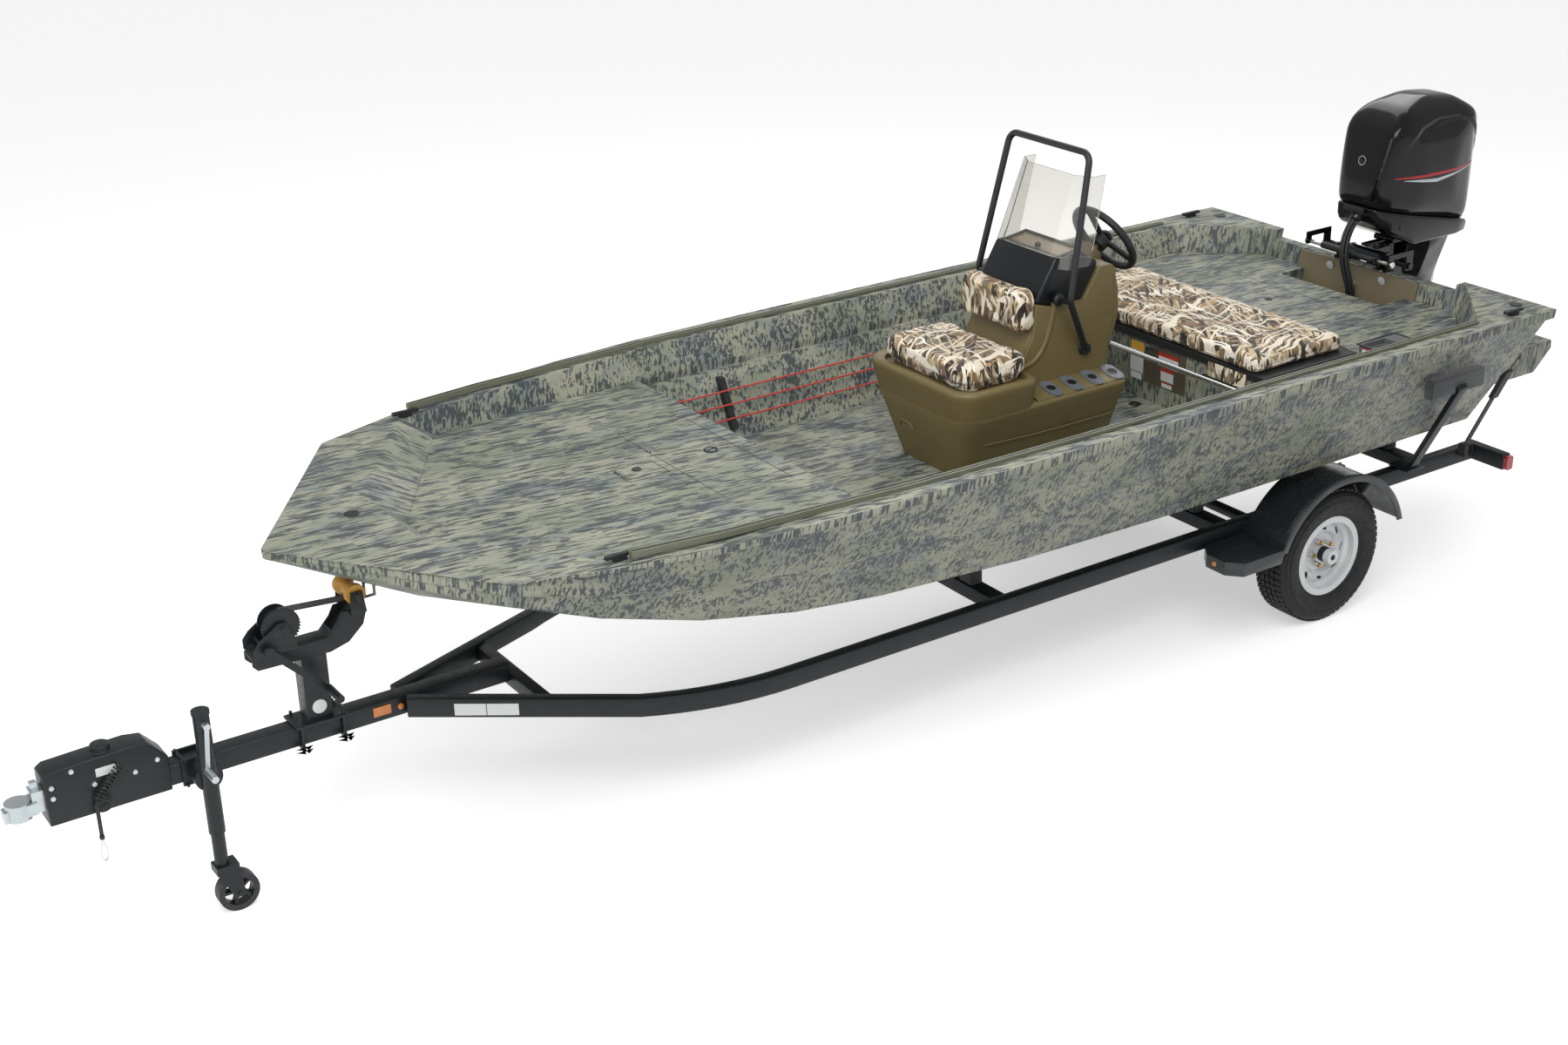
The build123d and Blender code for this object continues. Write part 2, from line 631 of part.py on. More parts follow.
def windscreen():
    """Folded clear screen standing on the pod."""
    low, high = 1700.0, 2067.0
    rows = ((low, 3392.0, 3560.0, 236.0), (high, 3532.0, 3640.0, 222.0))
    outer = [[at(f, 150.0, z), at(f + 45.0, h, z), at(r, h, z), at(r, -h, z), at(f + 45.0, -h, z), at(f, -150.0, z)]
             for z, f, r, h in rows]
    t = SCREEN_THICK
    inner = [[at(f + t, 148.0, z), at(f + 45.0 + t, h - t, z), at(r + 9.0, h - t, z), at(r + 9.0, t - h, z),
              at(f + 45.0 + t, t - h, z), at(f + t, -148.0, z)] for z, f, r, h in rows]
    shell = ruled(outer) - ruled(inner)
    return shell - console_pod() - console_body()


def grab_rail():
    """Bent tube round the windscreen, its feet on the console's sides."""
    foot_y = BODY_HALF + FIT + RAIL_R
    half = [(3565.0, foot_y, 1330.0), (3400.0, 300.0, 1592.0), (3524.0, RAIL_HALF, RAIL_TOP_Z)]
    route = [at(s, y, z) for s, y, z in half] + [at(s, -y, z) for s, y, z in reversed(half)]
    rail = bent_tube(route, RAIL_R, 48.0)
    feet = []
    for sign in (-1, 1):
        inner, outer = sign * (BODY_HALF + FIT), sign * (BODY_HALF + 24.0)
        feet.append(round_bar(at(3565.0, inner, 1330.0), at(3565.0, outer, 1330.0), 24.0))
        feet.append(round_bar(at(3405.0, inner, 1575.0), at(3405.0, sign * 298.0, 1585.0), 12.0))
    for piece in feet:
        rail = rail + piece
    return rail


HELM_TILT = 32.0
HELM_S, HELM_CENTRE_Z = 3850.0, 1712.0


def helm_plane(along=0.0):
    """Plane of the steering wheel, its normal pointing aft and up at the driver."""
    normal = Vector(-cos(radians(HELM_TILT)), 0.0, sin(radians(HELM_TILT)))
    origin = Vector(*at(HELM_S, 0.0, HELM_CENTRE_Z)) + normal * along
    return Plane(origin=origin, z_dir=normal, x_dir=(0, 1, 0))


def steering_wheel():
    """Three-spoke wheel with its hub on the helm shaft."""
    plane = helm_plane()
    rim = plane * Torus(HELM_R - 14.0, 14.0)
    hub = plane * Pos(0, 0, -28.0) * Cylinder(34.0, 44.0)
    wheel = rim + hub
    for turn in (30.0, 150.0, 270.0):
        spoke = Box(HELM_R - 30.0, 30.0, 12.0, align=(Align.MIN, Align.CENTER, Align.CENTER))
        wheel = wheel + plane * Rot(0, 0, turn) * Pos(12.0, 0, -10.0) * spoke
    return wheel - plane * Pos(0, 0, -60.0) * Cylinder(HELM_SHAFT_R + RUN_FIT, 90.0)


HELM_SHAFT_R = 10.0


def helm_shaft():
    """Helm bezel and shaft on the console's rear face."""
    plane = helm_plane()
    shaft = plane * Pos(0, 0, -130.0) * Cylinder(HELM_SHAFT_R, 110.0, align=(Align.CENTER, Align.CENTER, Align.MIN))
    bezel = plane * Pos(0, 0, -175.0) * Cylinder(52.0, 95.0, align=(Align.CENTER, Align.CENTER, Align.MIN))
    return shaft + bezel


def seat_cushion():
    return soft_block(2866.0, 3211.0, -288.0, 288.0, SEAT_Z + FIT, SEAT_Z + 110.0, 80.0)


def backrest_cushion():
    plane = Plane(origin=at(BODY_FRONT + 9.0, 0.0, 1543.0), z_dir=(1, 0, 0), x_dir=(0, 1, 0))
    pad = plane * Box(430.0, 205.0, 71.0, align=(Align.CENTER, Align.CENTER, Align.MIN))
    pad = fillet(pad.edges().filter_by(Axis.X), 60.0)
    seat = Pos(FIT + 0.1, 0, 0)
    return pad - seat * console_body() - seat * console_pod()


def motor_s(aft):
    """Station of a place on the motor, this far aft of the tilt tube."""
    return TILT_S + aft


COLUMN_TOP = 1372.0
CHEEKS = (105.0, 150.0)     # half widths of the clamp's ribs
STEM_R = 18.0
RAM_S, RAM_Z = motor_s(-127.0), 1364.0
RAM_HALF = 254.0


def motor_clamp():
    """Transom clamp of the motor, with the tilt tube across its top."""
    body = round_bar(at(TILT_S, -RAM_HALF - 14.0, TILT_Z), at(TILT_S, RAM_HALF + 14.0, TILT_Z), TILT_TUBE_R)
    top = TRANSOM_TOP_Z + FIT
    outline = ((transom_s(955.0) + FIT, 955.0), (transom_s(top) + FIT, top), (motor_s(-46.0), top),
               (motor_s(-46.0), top + 15.0),
               (TILT_S - 34.0, top + 15.0), (TILT_S - 30.0, TILT_Z + 26.0), (TILT_S + 30.0, TILT_Z + 26.0),
               (motor_s(70.0), 1280.0), (motor_s(76.0), 1000.0), (motor_s(45.0), 955.0))
    for y in CHEEKS:
        cheek = side_profile(outline, y - 9.0, y + 9.0)
        body = body + cheek + mirror(cheek, Plane.XZ)
    for z in (1000.0, 1130.0, 1240.0):
        face = transom_s(z - 30.0) + 1.0
        pad = block(face + 8.0, face + 22.0, -CHEEKS[1], CHEEKS[1], z - 30.0, z)
        body = body + pad
    return body - block(TILT_S, motor_s(170.0), -94.0, 94.0, 990.0, 1320.0) - block(
        TILT_S - 60.0, TILT_S + 60.0, -94.0, 94.0, TILT_Z - 40.0, TILT_Z - TILT_TUBE_R) + round_bar(
        at(TILT_S, -RAM_HALF - 14.0, TILT_Z), at(TILT_S, RAM_HALF + 14.0, TILT_Z), TILT_TUBE_R)


def motor_swivel():
    """Body that tilts on the tube and carries the vertical steering pivot."""
    tilt_boss = round_bar(at(TILT_S, -90.0, TILT_Z), at(TILT_S, 90.0, TILT_Z), 30.0)
    column = round_bar(at(STEER_S, 0.0, 1010.0), at(STEER_S, 0.0, COLUMN_TOP), 40.0)
    web = side_profile(((TILT_S - 20.0, TILT_Z + 22.0), (TILT_S - 20.0, TILT_Z - 20.0),
                        (motor_s(38.0), TILT_Z - 26.0),
                        (motor_s(74.0), 1090.0), (STEER_S, 1040.0), (STEER_S, TILT_Z + 28.0)), -36.0, 36.0)
    body = tilt_boss + column + web
    body = body - round_bar(at(TILT_S, -95.0, TILT_Z), at(TILT_S, 95.0, TILT_Z), TILT_TUBE_R + RUN_FIT)
    return body - round_bar(at(STEER_S, 0.0, 900.0), at(STEER_S, 0.0, 1500.0), STEM_R + RUN_FIT)


def steering_ram():
    """Hydraulic steering cylinder with its rod and the two arms on the tilt tube."""
    body = round_bar(at(RAM_S, -165.0, RAM_Z), at(RAM_S, 165.0, RAM_Z), 17.0)
    body = body + round_bar(at(RAM_S, -RAM_HALF, RAM_Z), at(RAM_S, RAM_HALF, RAM_Z), 9.0)
    arm = ((TILT_S + 22.0, TILT_Z - 20.0), (TILT_S + 22.0, TILT_Z + 74.0), (RAM_S - 16.0, TILT_Z + 74.0),
           (RAM_S - 16.0, RAM_Z - 14.0), (RAM_S + 16.0, RAM_Z - 14.0), (RAM_S + 16.0, TILT_Z + 50.0),
           (TILT_S - 22.0, TILT_Z + 50.0), (TILT_S - 22.0, TILT_Z - 20.0))
    for y in (-RAM_HALF, RAM_HALF):
        body = body + side_profile(arm, y - 4.0, y + 4.0)
    return body - round_bar(at(TILT_S, -400.0, TILT_Z), at(TILT_S, 400.0, TILT_Z), TILT_TUBE_R + RUN_FIT)


PAN_LOW = 1402.0

# Motor leg sections: z, front station, aft station, half width
LEG_SECTIONS = (
    (PLATE_Z, motor_s(170.0), motor_s(455.0), 42.0),
    (1000.0, motor_s(185.0), motor_s(455.0), 62.0),
    (1180.0, motor_s(188.0), motor_s(470.0), 86.0),
    (PAN_LOW - FIT, motor_s(186.0), motor_s(510.0), 150.0),
)


def lens_ring(z, front, aft, half, nose=0.3):
    """Six-sided outline, blunt in front and tapering aft."""
    mid = front + (aft - front) * nose
    ring = [(front, half * 0.55), (mid, half), (aft - (aft - front) * 0.25, half * 0.85), (aft, half * 0.35)]
    return [at(s, y, z) for s, y in ring] + [at(s, -y, z) for s, y in reversed(ring)]


def motor_leg():
    """Driveshaft housing, anti-ventilation plate, gearcase and skeg."""
    leg = None
    for low, high in zip(LEG_SECTIONS, LEG_SECTIONS[1:]):
        piece = ruled([lens_ring(*low), lens_ring(*high)])
        leg = piece if leg is None else leg + piece
    half = [(motor_s(190.0), 72.0), (motor_s(370.0), 98.0), (motor_s(590.0), 92.0), (motor_s(660.0), 40.0)]
    plate = plan_profile([(motor_s(125.0), 0.0)] + half + [(s, -y) for s, y in reversed(half)],
                         PLATE_Z - 6.0, PLATE_Z + 6.0)
    strut = ruled([lens_ring(PROP_Z, motor_s(160.0), motor_s(480.0), 36.0),
                   lens_ring(PLATE_Z, motor_s(170.0), motor_s(480.0), 40.0)])
    bullet_axis = Plane(origin=at(motor_s(95.0), 0.0, PROP_Z), z_dir=(-1, 0, 0), x_dir=(0, 0, 1))
    profile = Polyline((0, 0), (22, 14), (44, 70), (54, 160), (54, 330), (46, 425), (0, 425), close=True)
    bullet = bullet_axis * revolve(Plane.XZ * make_face(profile), Axis.Z)
    skeg = side_profile(((motor_s(230.0), PROP_Z - 40.0), (motor_s(455.0), PROP_Z - 40.0),
                         (motor_s(480.0), 452.0), (motor_s(395.0), 440.0)), -7.0, 7.0)
    body = leg + plate + strut + bullet + skeg
    neck = block(STEER_S - 30.0, motor_s(260.0), -60.0, 60.0, COLUMN_TOP + 6.0, PAN_LOW - FIT)
    body = body + neck
    stem = round_bar(at(STEER_S, 0.0, 1000.0), at(STEER_S, 0.0, 1395.0), STEM_R)
    lower_mount = block(STEER_S - 24.0, motor_s(230.0), -34.0, 34.0, 960.0, 1004.0)
    arm = block(motor_s(-30.0), STEER_S - 20.0, -16.0, 16.0, COLUMN_TOP + 6.0, COLUMN_TOP + 20.0)
    body = body + stem + lower_mount + arm
    shaft = round_bar(at(motor_s(519.0), 0.0, PROP_Z), at(motor_s(715.0), 0.0, PROP_Z), 12.0)
    return body + shaft


# Cowl outlines: station from the tilt tube, then z or y
COWL_SIDE = tuple((motor_s(aft), z) for aft, z in (
    (-115.0, 1592.0), (-105.0, 1700.0), (-52.0, 1945.0), (50.0, 2040.0), (210.0, COWL_TOP_Z),
    (400.0, 2058.0), (530.0, 1975.0), (598.0, 1830.0), (598.0, 1690.0), (555.0, 1560.0),
    (510.0, 1452.0)))
COWL_FRONT = ((150.0, 1440.0), (COWL_HALF - 6.0, 1600.0), (COWL_HALF, 1760.0), (190.0, 1900.0), (150.0, 2010.0),
              (70.0, 2085.0))
COWL_PLAN = tuple((motor_s(aft), y) for aft, y in (
    (-125.0, 95.0), (-60.0, 150.0), (110.0, 200.0), (330.0, COWL_HALF), (490.0, 165.0),
    (580.0, 100.0), (605.0, 40.0)))


def shaped(side, low, high):
    """Motor cover: its side outline, cut to the front and plan outlines."""
    body = side_profile(side, -260.0, 260.0)
    across = [(y, z) for y, z in COWL_FRONT]
    ring = [(y, z) for y, z in across] + [(-y, z) for y, z in reversed(across)]
    front_face = Face(Wire.make_polygon([Vector(BOW_X - motor_s(-230.0), y, z) for y, z in ring], close=True))
    front = extrude(front_face, 900.0, dir=(-1, 0, 0))
    plan = plan_profile(list(COWL_PLAN) + [(s, -y) for s, y in reversed(COWL_PLAN)], low, high)
    return body & front & plan


def cowl():
    return shaped(COWL_SIDE, 1300.0, 2200.0)


HOSE_R = 22.0
HOSE_ROUTE = tuple((motor_s(aft), y, z) for aft, y, z in (
    (-112.0, 0.0, 1516.0), (-148.0, 0.0, 1470.0), (-178.0, 12.0, 1408.0), (-190.0, 30.0, 1335.0),
    (-182.0, 52.0, 1262.0), (-170.0, 70.0, 1190.0), (-168.0, 78.0, 1118.0), (-168.0, 80.0, 1058.0),
    (-168.0, 80.0, WELL_FLOOR_Z + 12.0)))

PAN_SIDE = tuple((motor_s(aft), z) for aft, z in (
    (-110.0, 1590.4), (505.0, 1452.7), (485.0, PAN_LOW), (110.0, PAN_LOW),
    (-30.0, 1470.0), (-90.0, 1520.0)))


def motor_pan():
    """Lower cover under the cowl's seam, with the powerhead inside it."""
    body = side_profile(PAN_SIDE, -260.0, 260.0)
    plan = plan_profile(list(COWL_PLAN) + [(s, -y) for s, y in reversed(COWL_PLAN)], 1300.0, 1700.0)
    body = body & plan & block(motor_s(-230.0), motor_s(770.0), -186.0, 186.0, 1300.0, 1700.0)
    first, second = Vector(*at(*HOSE_ROUTE[0])), Vector(*at(*HOSE_ROUTE[1]))
    along = (first - second).normalized()
    collar = round_bar(tuple(first), tuple(first + along * 46.0), HOSE_R + 4.0)
    return body + collar


# Blade outline: distance from the shaft, half chord
BLADE = ((40.0, 34.0), (70.0, 50.0), (105.0, 58.0), (135.0, 50.0), (152.0, 34.0), (PROP_R, 12.0))
BLADE_PITCH = 58.0


def propeller():
    """Three-blade propeller on its hub."""
    hub = round_bar(at(motor_s(526.0), 0.0, PROP_Z), at(motor_s(708.0), 0.0, PROP_Z), 46.0)
    cone = round_bar(at(motor_s(708.0), 0.0, PROP_Z), at(MOTOR_REAR, 0.0, PROP_Z), 20.0)
    body = hub + cone
    outline = [Vector(chord, -4.0, r) for r, chord in BLADE]
    outline += [Vector(-chord, -4.0, r) for r, chord in reversed(BLADE)]
    blade = Rot(0, 0, BLADE_PITCH) * extrude(Face(Wire.make_polygon(outline, close=True)), 8.0, dir=(0, 1, 0))
    for turn in (0.0, 120.0, 240.0):
        body = body + Pos(*at(motor_s(610.0), 0.0, PROP_Z)) * Rot(turn, 0, 0) * blade
    return body - round_bar(at(motor_s(510.0), 0.0, PROP_Z), at(motor_s(720.0), 0.0, PROP_Z), 12.0 + RUN_FIT)


def rigging_hose():
    """Bundle of cables and fuel hose from the motor into the well."""
    points = [Vector(*at(*p)) for p in HOSE_ROUTE]
    radii = []
    for before, corner, after in zip(points, points[1:], points[2:]):
        first, second = corner - before, after - corner
        turn = max(radians(first.get_angle(second)), 0.02)
        radii.append(0.45 * min(first.length, second.length) / tan(turn / 2))
    print("hose radii", [round(r) for r in radii])
    path = FilletPolyline(*points, radius=radii)
    start = Plane(origin=path @ 0, z_dir=path % 0)
    return sweep(start * Circle(HOSE_R), path)


def tongue():
    """Centre tube from the coupler to the front cross-member."""
    half = TONGUE / 2
    return block(-COUPLER_REACH + 170.0, TONGUE_AFT, -half, half, TONGUE_TOP_Z - TONGUE, TONGUE_TOP_Z)


RAIL_SPLAY_S = 1482.0       # where the centrelines of the two runs would meet
RAIL_START_S = 452.0
RAIL_BEND = 1250.0
RAIL_BEND_PARTS = 8


def rail_route():
    """Centreline of the port rail: station, half width, height and heading."""
    y_front, y_aft = TONGUE / 2 + 12.0, RAIL_OUTER - RAIL_WIDTH / 2
    turn = atan2(y_aft - y_front, RAIL_SPLAY_S - RAIL_START_S)
    reach = RAIL_BEND * tan(turn / 2)
    s0, y0 = RAIL_SPLAY_S - reach * cos(turn), y_aft - reach * sin(turn)
    z_front, z_aft = TONGUE_TOP_Z - TONGUE / 2, RAIL_TOP - TONGUE / 2
    route = [(RAIL_START_S, y_front, z_front, turn), (s0, y0, z_aft, turn)]
    for part in range(1, RAIL_BEND_PARTS + 1):
        now = turn * (1 - part / RAIL_BEND_PARTS)
        route.append((s0 + RAIL_BEND * (sin(turn) - sin(now)), y0 + RAIL_BEND * (cos(now) - cos(turn)), z_aft, now))
    route.append((RAIL_AFT, y_aft, z_aft, 0.0))
    return route


def side_rail():
    """Port rail: splays from the tongue, bends and runs straight aft."""
    rings = []
    for s, y, z, heading in rail_route():
        out_s, out_y = -sin(heading) * RAIL_WIDTH / 2, cos(heading) * RAIL_WIDTH / 2
        low, high = z - TONGUE / 2, z + TONGUE / 2
        rings.append([at(s + out_s, y + out_y, low), at(s + out_s, y + out_y, high),
                      at(s - out_s, y - out_y, high), at(s - out_s, y - out_y, low)])
    rail = ruled(rings)
    return rail - block(0.0, 1200.0, -200.0, TONGUE / 2 + FIT, 400.0, 700.0)


# Cross-members: station, width along the boat
CROSS = ((884.0, 50.0), (2790.0, 76.0), (4045.0, 76.0), (HULL_LENGTH - 270.0, 76.0))


def rail_inner(s):
    """Half width between the rails where they splay."""
    (s0, y0, _, turn), (s1, y1, _, _) = rail_route()[:2]
    return y0 + (y1 - y0) * (s - s0) / (s1 - s0) - RAIL_WIDTH / 2 / cos(turn)


def crossmembers():
    """Tubes between the side rails."""
    parts = []
    for s, wide in CROSS:
        if s > RAIL_SPLAY_S:
            half = RAIL_OUTER - RAIL_WIDTH - FIT
            parts.append(block(s, s + wide, -half, half, RAIL_TOP - 60.0, RAIL_TOP))
            continue
        (s0, _, z0, _), (s1, _, z1, _) = rail_route()[:2]
        top = z0 + (z1 - z0) * (s + wide - s0) / (s1 - s0) + TONGUE / 2 - 4.0
        front, aft = rail_inner(s) - 2 * FIT, rail_inner(s + wide) - 2 * FIT
        outline = [(s + FIT, front), (s + wide, aft), (s + wide, -aft), (s + FIT, -front)]
        parts.append(plan_profile(outline, top - 60.0, top))
    return Compound(children=[part.solid() for part in parts])


BUNK_Y = 390.0
BUNK_WIDE, BUNK_THICK = 140.0, 42.0
BUNK_ENDS = (2760.0, HULL_LENGTH - 80.0)


def bunks():
    """Carpeted boards under the hull, on posts from the cross-members."""
    parts = []
    for y in (-BUNK_Y, BUNK_Y):
        top = BOTTOM_Z - FIT
        board = block(*BUNK_ENDS, y - BUNK_WIDE / 2, y + BUNK_WIDE / 2, top - BUNK_THICK, top)
        for s, wide in CROSS[1:]:
            board = board + block(s + 8.0, s + wide - 8.0, y - 40.0, y + 40.0, RAIL_TOP + FIT, top - BUNK_THICK + 1.0)
        parts.append(board.solid())
    return Compound(children=parts)


HUB_BORE = 80.0
SPRING_HALF = 320.0
SPRING_Y = 560.0


def axle():
    """Axle beam with its spindles, and the leaf springs that hang it from the rails."""
    reach = TRACK_HALF + HUB_BORE - 4.0
    beam = round_bar(at(AXLE_S, -600.0, TYRE_R), at(AXLE_S, 600.0, TYRE_R), 26.0)
    beam = beam + round_bar(at(AXLE_S, -reach, TYRE_R), at(AXLE_S, reach, TYRE_R), SPINDLE_R)
    low = RAIL_TOP - TONGUE
    for y in (-SPRING_Y - 20.0, SPRING_Y - 20.0):
        leaf = side_profile(((AXLE_S - SPRING_HALF, low - 34.0), (AXLE_S, TYRE_R + 22.0), (AXLE_S + SPRING_HALF, low - 34.0),
                             (AXLE_S + SPRING_HALF, low - 22.0), (AXLE_S, TYRE_R + 46.0), (AXLE_S - SPRING_HALF, low - 22.0)),
                            y, y + 40.0)
        for s in (AXLE_S - SPRING_HALF, AXLE_S + SPRING_HALF):
            hanger = block(s - 22.0, s + 22.0, y - 4.0, y + 44.0, low - 44.0, low - FIT)
            leaf = leaf + hanger
        clamp = block(AXLE_S - 45.0, AXLE_S + 45.0, y - 6.0, y + 46.0, TYRE_R - 34.0, TYRE_R + 52.0)
        beam = beam + leaf + clamp
    return beam


def wheel_plane(sign):
    """Plane at the wheel's centre, its normal pointing outboard."""
    return Plane(origin=at(AXLE_S, sign * TRACK_HALF, TYRE_R), z_dir=(0, sign, 0), x_dir=(1, 0, 0))


def wheel(sign):
    """Steel wheel with slotted disc, hub and cap."""
    half = RIM_WIDTH / 2
    inner_r = RIM_FLANGE_R - 26.0
    rim_profile = Polyline((inner_r - 6.0, -half), (RIM_FLANGE_R, -half), (RIM_FLANGE_R, -half + 8.0),
                           (inner_r + 4.0, -half + 14.0), (inner_r + 2.0, -20.0), (inner_r - 14.0, -10.0),
                           (inner_r - 14.0, 20.0), (inner_r + 2.0, 30.0), (inner_r + 4.0, half - 14.0),
                           (RIM_FLANGE_R, half - 8.0), (RIM_FLANGE_R, half), (inner_r - 6.0, half),
                           (inner_r - 6.0, 38.0), (inner_r - 22.0, 26.0), (inner_r - 22.0, -14.0),
                           (inner_r - 6.0, -26.0), close=True)
    rim = revolve(Plane.XZ * make_face(rim_profile), Axis.Z)
    disc_profile = Polyline((30.0, 8.0), (88.0, 8.0), (104.0, 30.0), (inner_r - 20.0, 22.0), (inner_r - 20.0, 14.0),
                            (106.0, 22.0), (92.0, 0.0), (30.0, 0.0), close=True)
    disc = revolve(Plane.XZ * make_face(disc_profile), Axis.Z)
    for index in range(8):
        slot = Rot(0, 0, index * 45.0) * Pos(122.0, 0, 22.0) * Rot(0, 0, 62.0)
        disc = disc - slot * extrude(SlotOverall(40.0, 15.0), 30.0, both=True)
    hub = Pos(0, 0, -60.0) * Cylinder(44.0, 92.0, align=(Align.CENTER, Align.CENTER, Align.MIN))
    hub = hub + Pos(0, 0, 32.0) * Cylinder(33.0, 62.0, align=(Align.CENTER, Align.CENTER, Align.MIN))
    body = rim + disc + hub
    for index in range(5):
        lug = Rot(0, 0, index * 72.0) * Pos(57.0, 0, 0.0)
        body = body + lug * Cylinder(11.0, 34.0, align=(Align.CENTER, Align.CENTER, Align.MIN))
    bore = Cylinder(SPINDLE_R + RUN_FIT, 2 * HUB_BORE)
    return wheel_plane(sign) * (body - bore)


def tyre(sign):
    """Tyre as a revolved section, seated on the rim."""
    half = TYRE_WIDTH / 2
    bead = RIM_FLANGE_R - 18.0
    arc_mid = (bead + TYRE_R) / 2 - 8.0
    profile = Polyline((bead, -56.0), (RIM_FLANGE_R + 6.0, -74.0), (arc_mid, -half), (TYRE_R - 34.0, -half + 8.0),
                       (TYRE_R - 6.0, -66.0), (TYRE_R, -40.0), (TYRE_R, 40.0), (TYRE_R - 6.0, 66.0),
                       (TYRE_R - 34.0, half - 8.0), (arc_mid, half), (RIM_FLANGE_R + 6.0, 74.0), (bead, 56.0),
                       close=True)
    body = revolve(Plane.XZ * make_face(profile), Axis.Z)
    return (wheel_plane(sign) * body) - wheel(sign)


def fender():
    """Port mudguard: arched shell with a rolled lip and a step pad in front."""
    plane = Plane(origin=at(AXLE_S, FENDER_IN, TYRE_R), z_dir=(0, 1, 0), x_dir=(1, 0, 0))
    wide = FENDER_OUT - FENDER_IN
    ring = Cylinder(FENDER_R, wide, align=(Align.CENTER, Align.CENTER, Align.MIN))
    ring = ring - Cylinder(FENDER_R - FENDER_THICK, wide, align=(Align.CENTER, Align.CENTER, Align.MIN))
    lip = Pos(0, 0, wide - 8.0) * Cylinder(FENDER_R + 6.0, 8.0, align=(Align.CENTER, Align.CENTER, Align.MIN))
    lip = lip - Pos(0, 0, wide - 8.0) * Cylinder(FENDER_R - 24.0, 8.0, align=(Align.CENTER, Align.CENTER, Align.MIN))
    arch = plane * (ring + lip)
    keep = block(AXLE_S - 500.0, AXLE_S + 500.0, 500.0, 1000.0, PAD_Z - 20.0, 900.0)
    rear = block(AXLE_S, AXLE_S + 500.0, 500.0, 1000.0, TYRE_R + 105.0, 900.0)
    arch = arch & (keep + rear)
    front, cut = AXLE_S - PAD_REACH, 55.0
    pad = plan_profile([(AXLE_S - 300.0, FENDER_IN), (front + cut, FENDER_IN), (front, FENDER_IN + 68.0),
                        (front, FENDER_OUT - 62.0), (front + cut, FENDER_OUT), (AXLE_S - 300.0, FENDER_OUT)],
                       PAD_Z - PAD_TALL, PAD_Z)
    front, wall = front + 6.0, 6.0
    under = plan_profile([(AXLE_S - 340.0, FENDER_IN + wall), (front + cut - 2.0, FENDER_IN + wall),
                          (front, FENDER_IN + 72.0), (front, FENDER_OUT - 66.0),
                          (front + cut - 2.0, FENDER_OUT - wall), (AXLE_S - 340.0, FENDER_OUT - wall)],
                         PAD_Z - PAD_TALL - 8.0, PAD_Z - wall)
    pad = pad - under - (plane * Cylinder(FENDER_R - FENDER_THICK, 600.0))
    bracket = block(front + 80.0, front + 130.0, RAIL_OUTER + FIT, FENDER_IN + 8.0, PAD_Z - 58.0, PAD_Z - 2.0)
    rear_bracket = block(AXLE_S + 180.0, AXLE_S + 230.0, RAIL_OUTER + FIT, FENDER_IN + 20.0,
                         RAIL_TOP - 40.0, TYRE_R + 330.0) - plane * Cylinder(FENDER_R - FENDER_THICK, 600.0)
    rear_bracket = rear_bracket + block(AXLE_S + 180.0, AXLE_S + 230.0, RAIL_OUTER + FIT, RAIL_OUTER + 6.0,
                                        RAIL_TOP - 40.0, TYRE_R + 336.0)
    return arch + pad + bracket + rear_bracket


PAD_Z = 465.0               # top of the step pad in front of the wheel
PAD_TALL = 62.0
PAD_REACH = 658.0           # from the axle to the pad's front edge


def light_bracket():
    """Port lamp bracket across the end of the rail."""
    low = RAIL_TOP - TONGUE
    cap = block(RAIL_AFT - 1.0, RAIL_AFT + 44.0, RAIL_OUTER - RAIL_WIDTH, RAIL_OUTER, low, RAIL_TOP)
    return cap + block(RAIL_AFT - 6.0, RAIL_AFT + 44.0, RAIL_OUTER - 2.0, 790.0, low, RAIL_TOP)


def tail_lamps():
    """Red lamps on the outer ends of the brackets."""
    lamp = block(RAIL_AFT - 2.0, RAIL_AFT + 40.0, 790.0 + FIT, 812.0, RAIL_TOP - 72.0, RAIL_TOP - 6.0)
    lamp = fillet(lamp.edges().filter_by(Axis.Y), 8.0)
    return both_sides(lamp)


GUIDE_Z = 1085.0
GUIDE_TOP = (HULL_LENGTH - 550.0, hull_side(GUIDE_Z) + 41.3, GUIDE_Z)


def guide_posts():
    """Leaning guide-on posts clamped to the rails."""
    foot = (HULL_LENGTH - 345.0, RAIL_OUTER + 30.0, RAIL_TOP + 4.0)
    post = flat_bar(at(*foot), at(GUIDE_TOP[0], GUIDE_TOP[1] + 54.0, GUIDE_TOP[2] - 5.0), 46.0, 24.0)
    post = post & block(foot[0] - 415.0, foot[0] + 185.0, 400.0, 1600.0, RAIL_TOP + 6.0, 1200.0)
    base = block(foot[0] - 55.0, foot[0] + 55.0, RAIL_OUTER - RAIL_WIDTH - 4.0, RAIL_OUTER + 62.0,
                 RAIL_TOP + FIT, RAIL_TOP + 14.0)
    return both_sides(post + base)


def guide_pads():
    """Padded boards on the guide posts, beside the hull."""
    s, y, z = GUIDE_TOP
    pad = block(s - 170.0, s + 170.0, y - 12.0, y + 34.0, z - 45.0, z + 45.0)
    pad = fillet(pad.edges().filter_by(Axis.X), 14.0)
    pad = pad - guide_posts()
    return both_sides(max(pad.solids(), key=lambda solid: solid.volume))


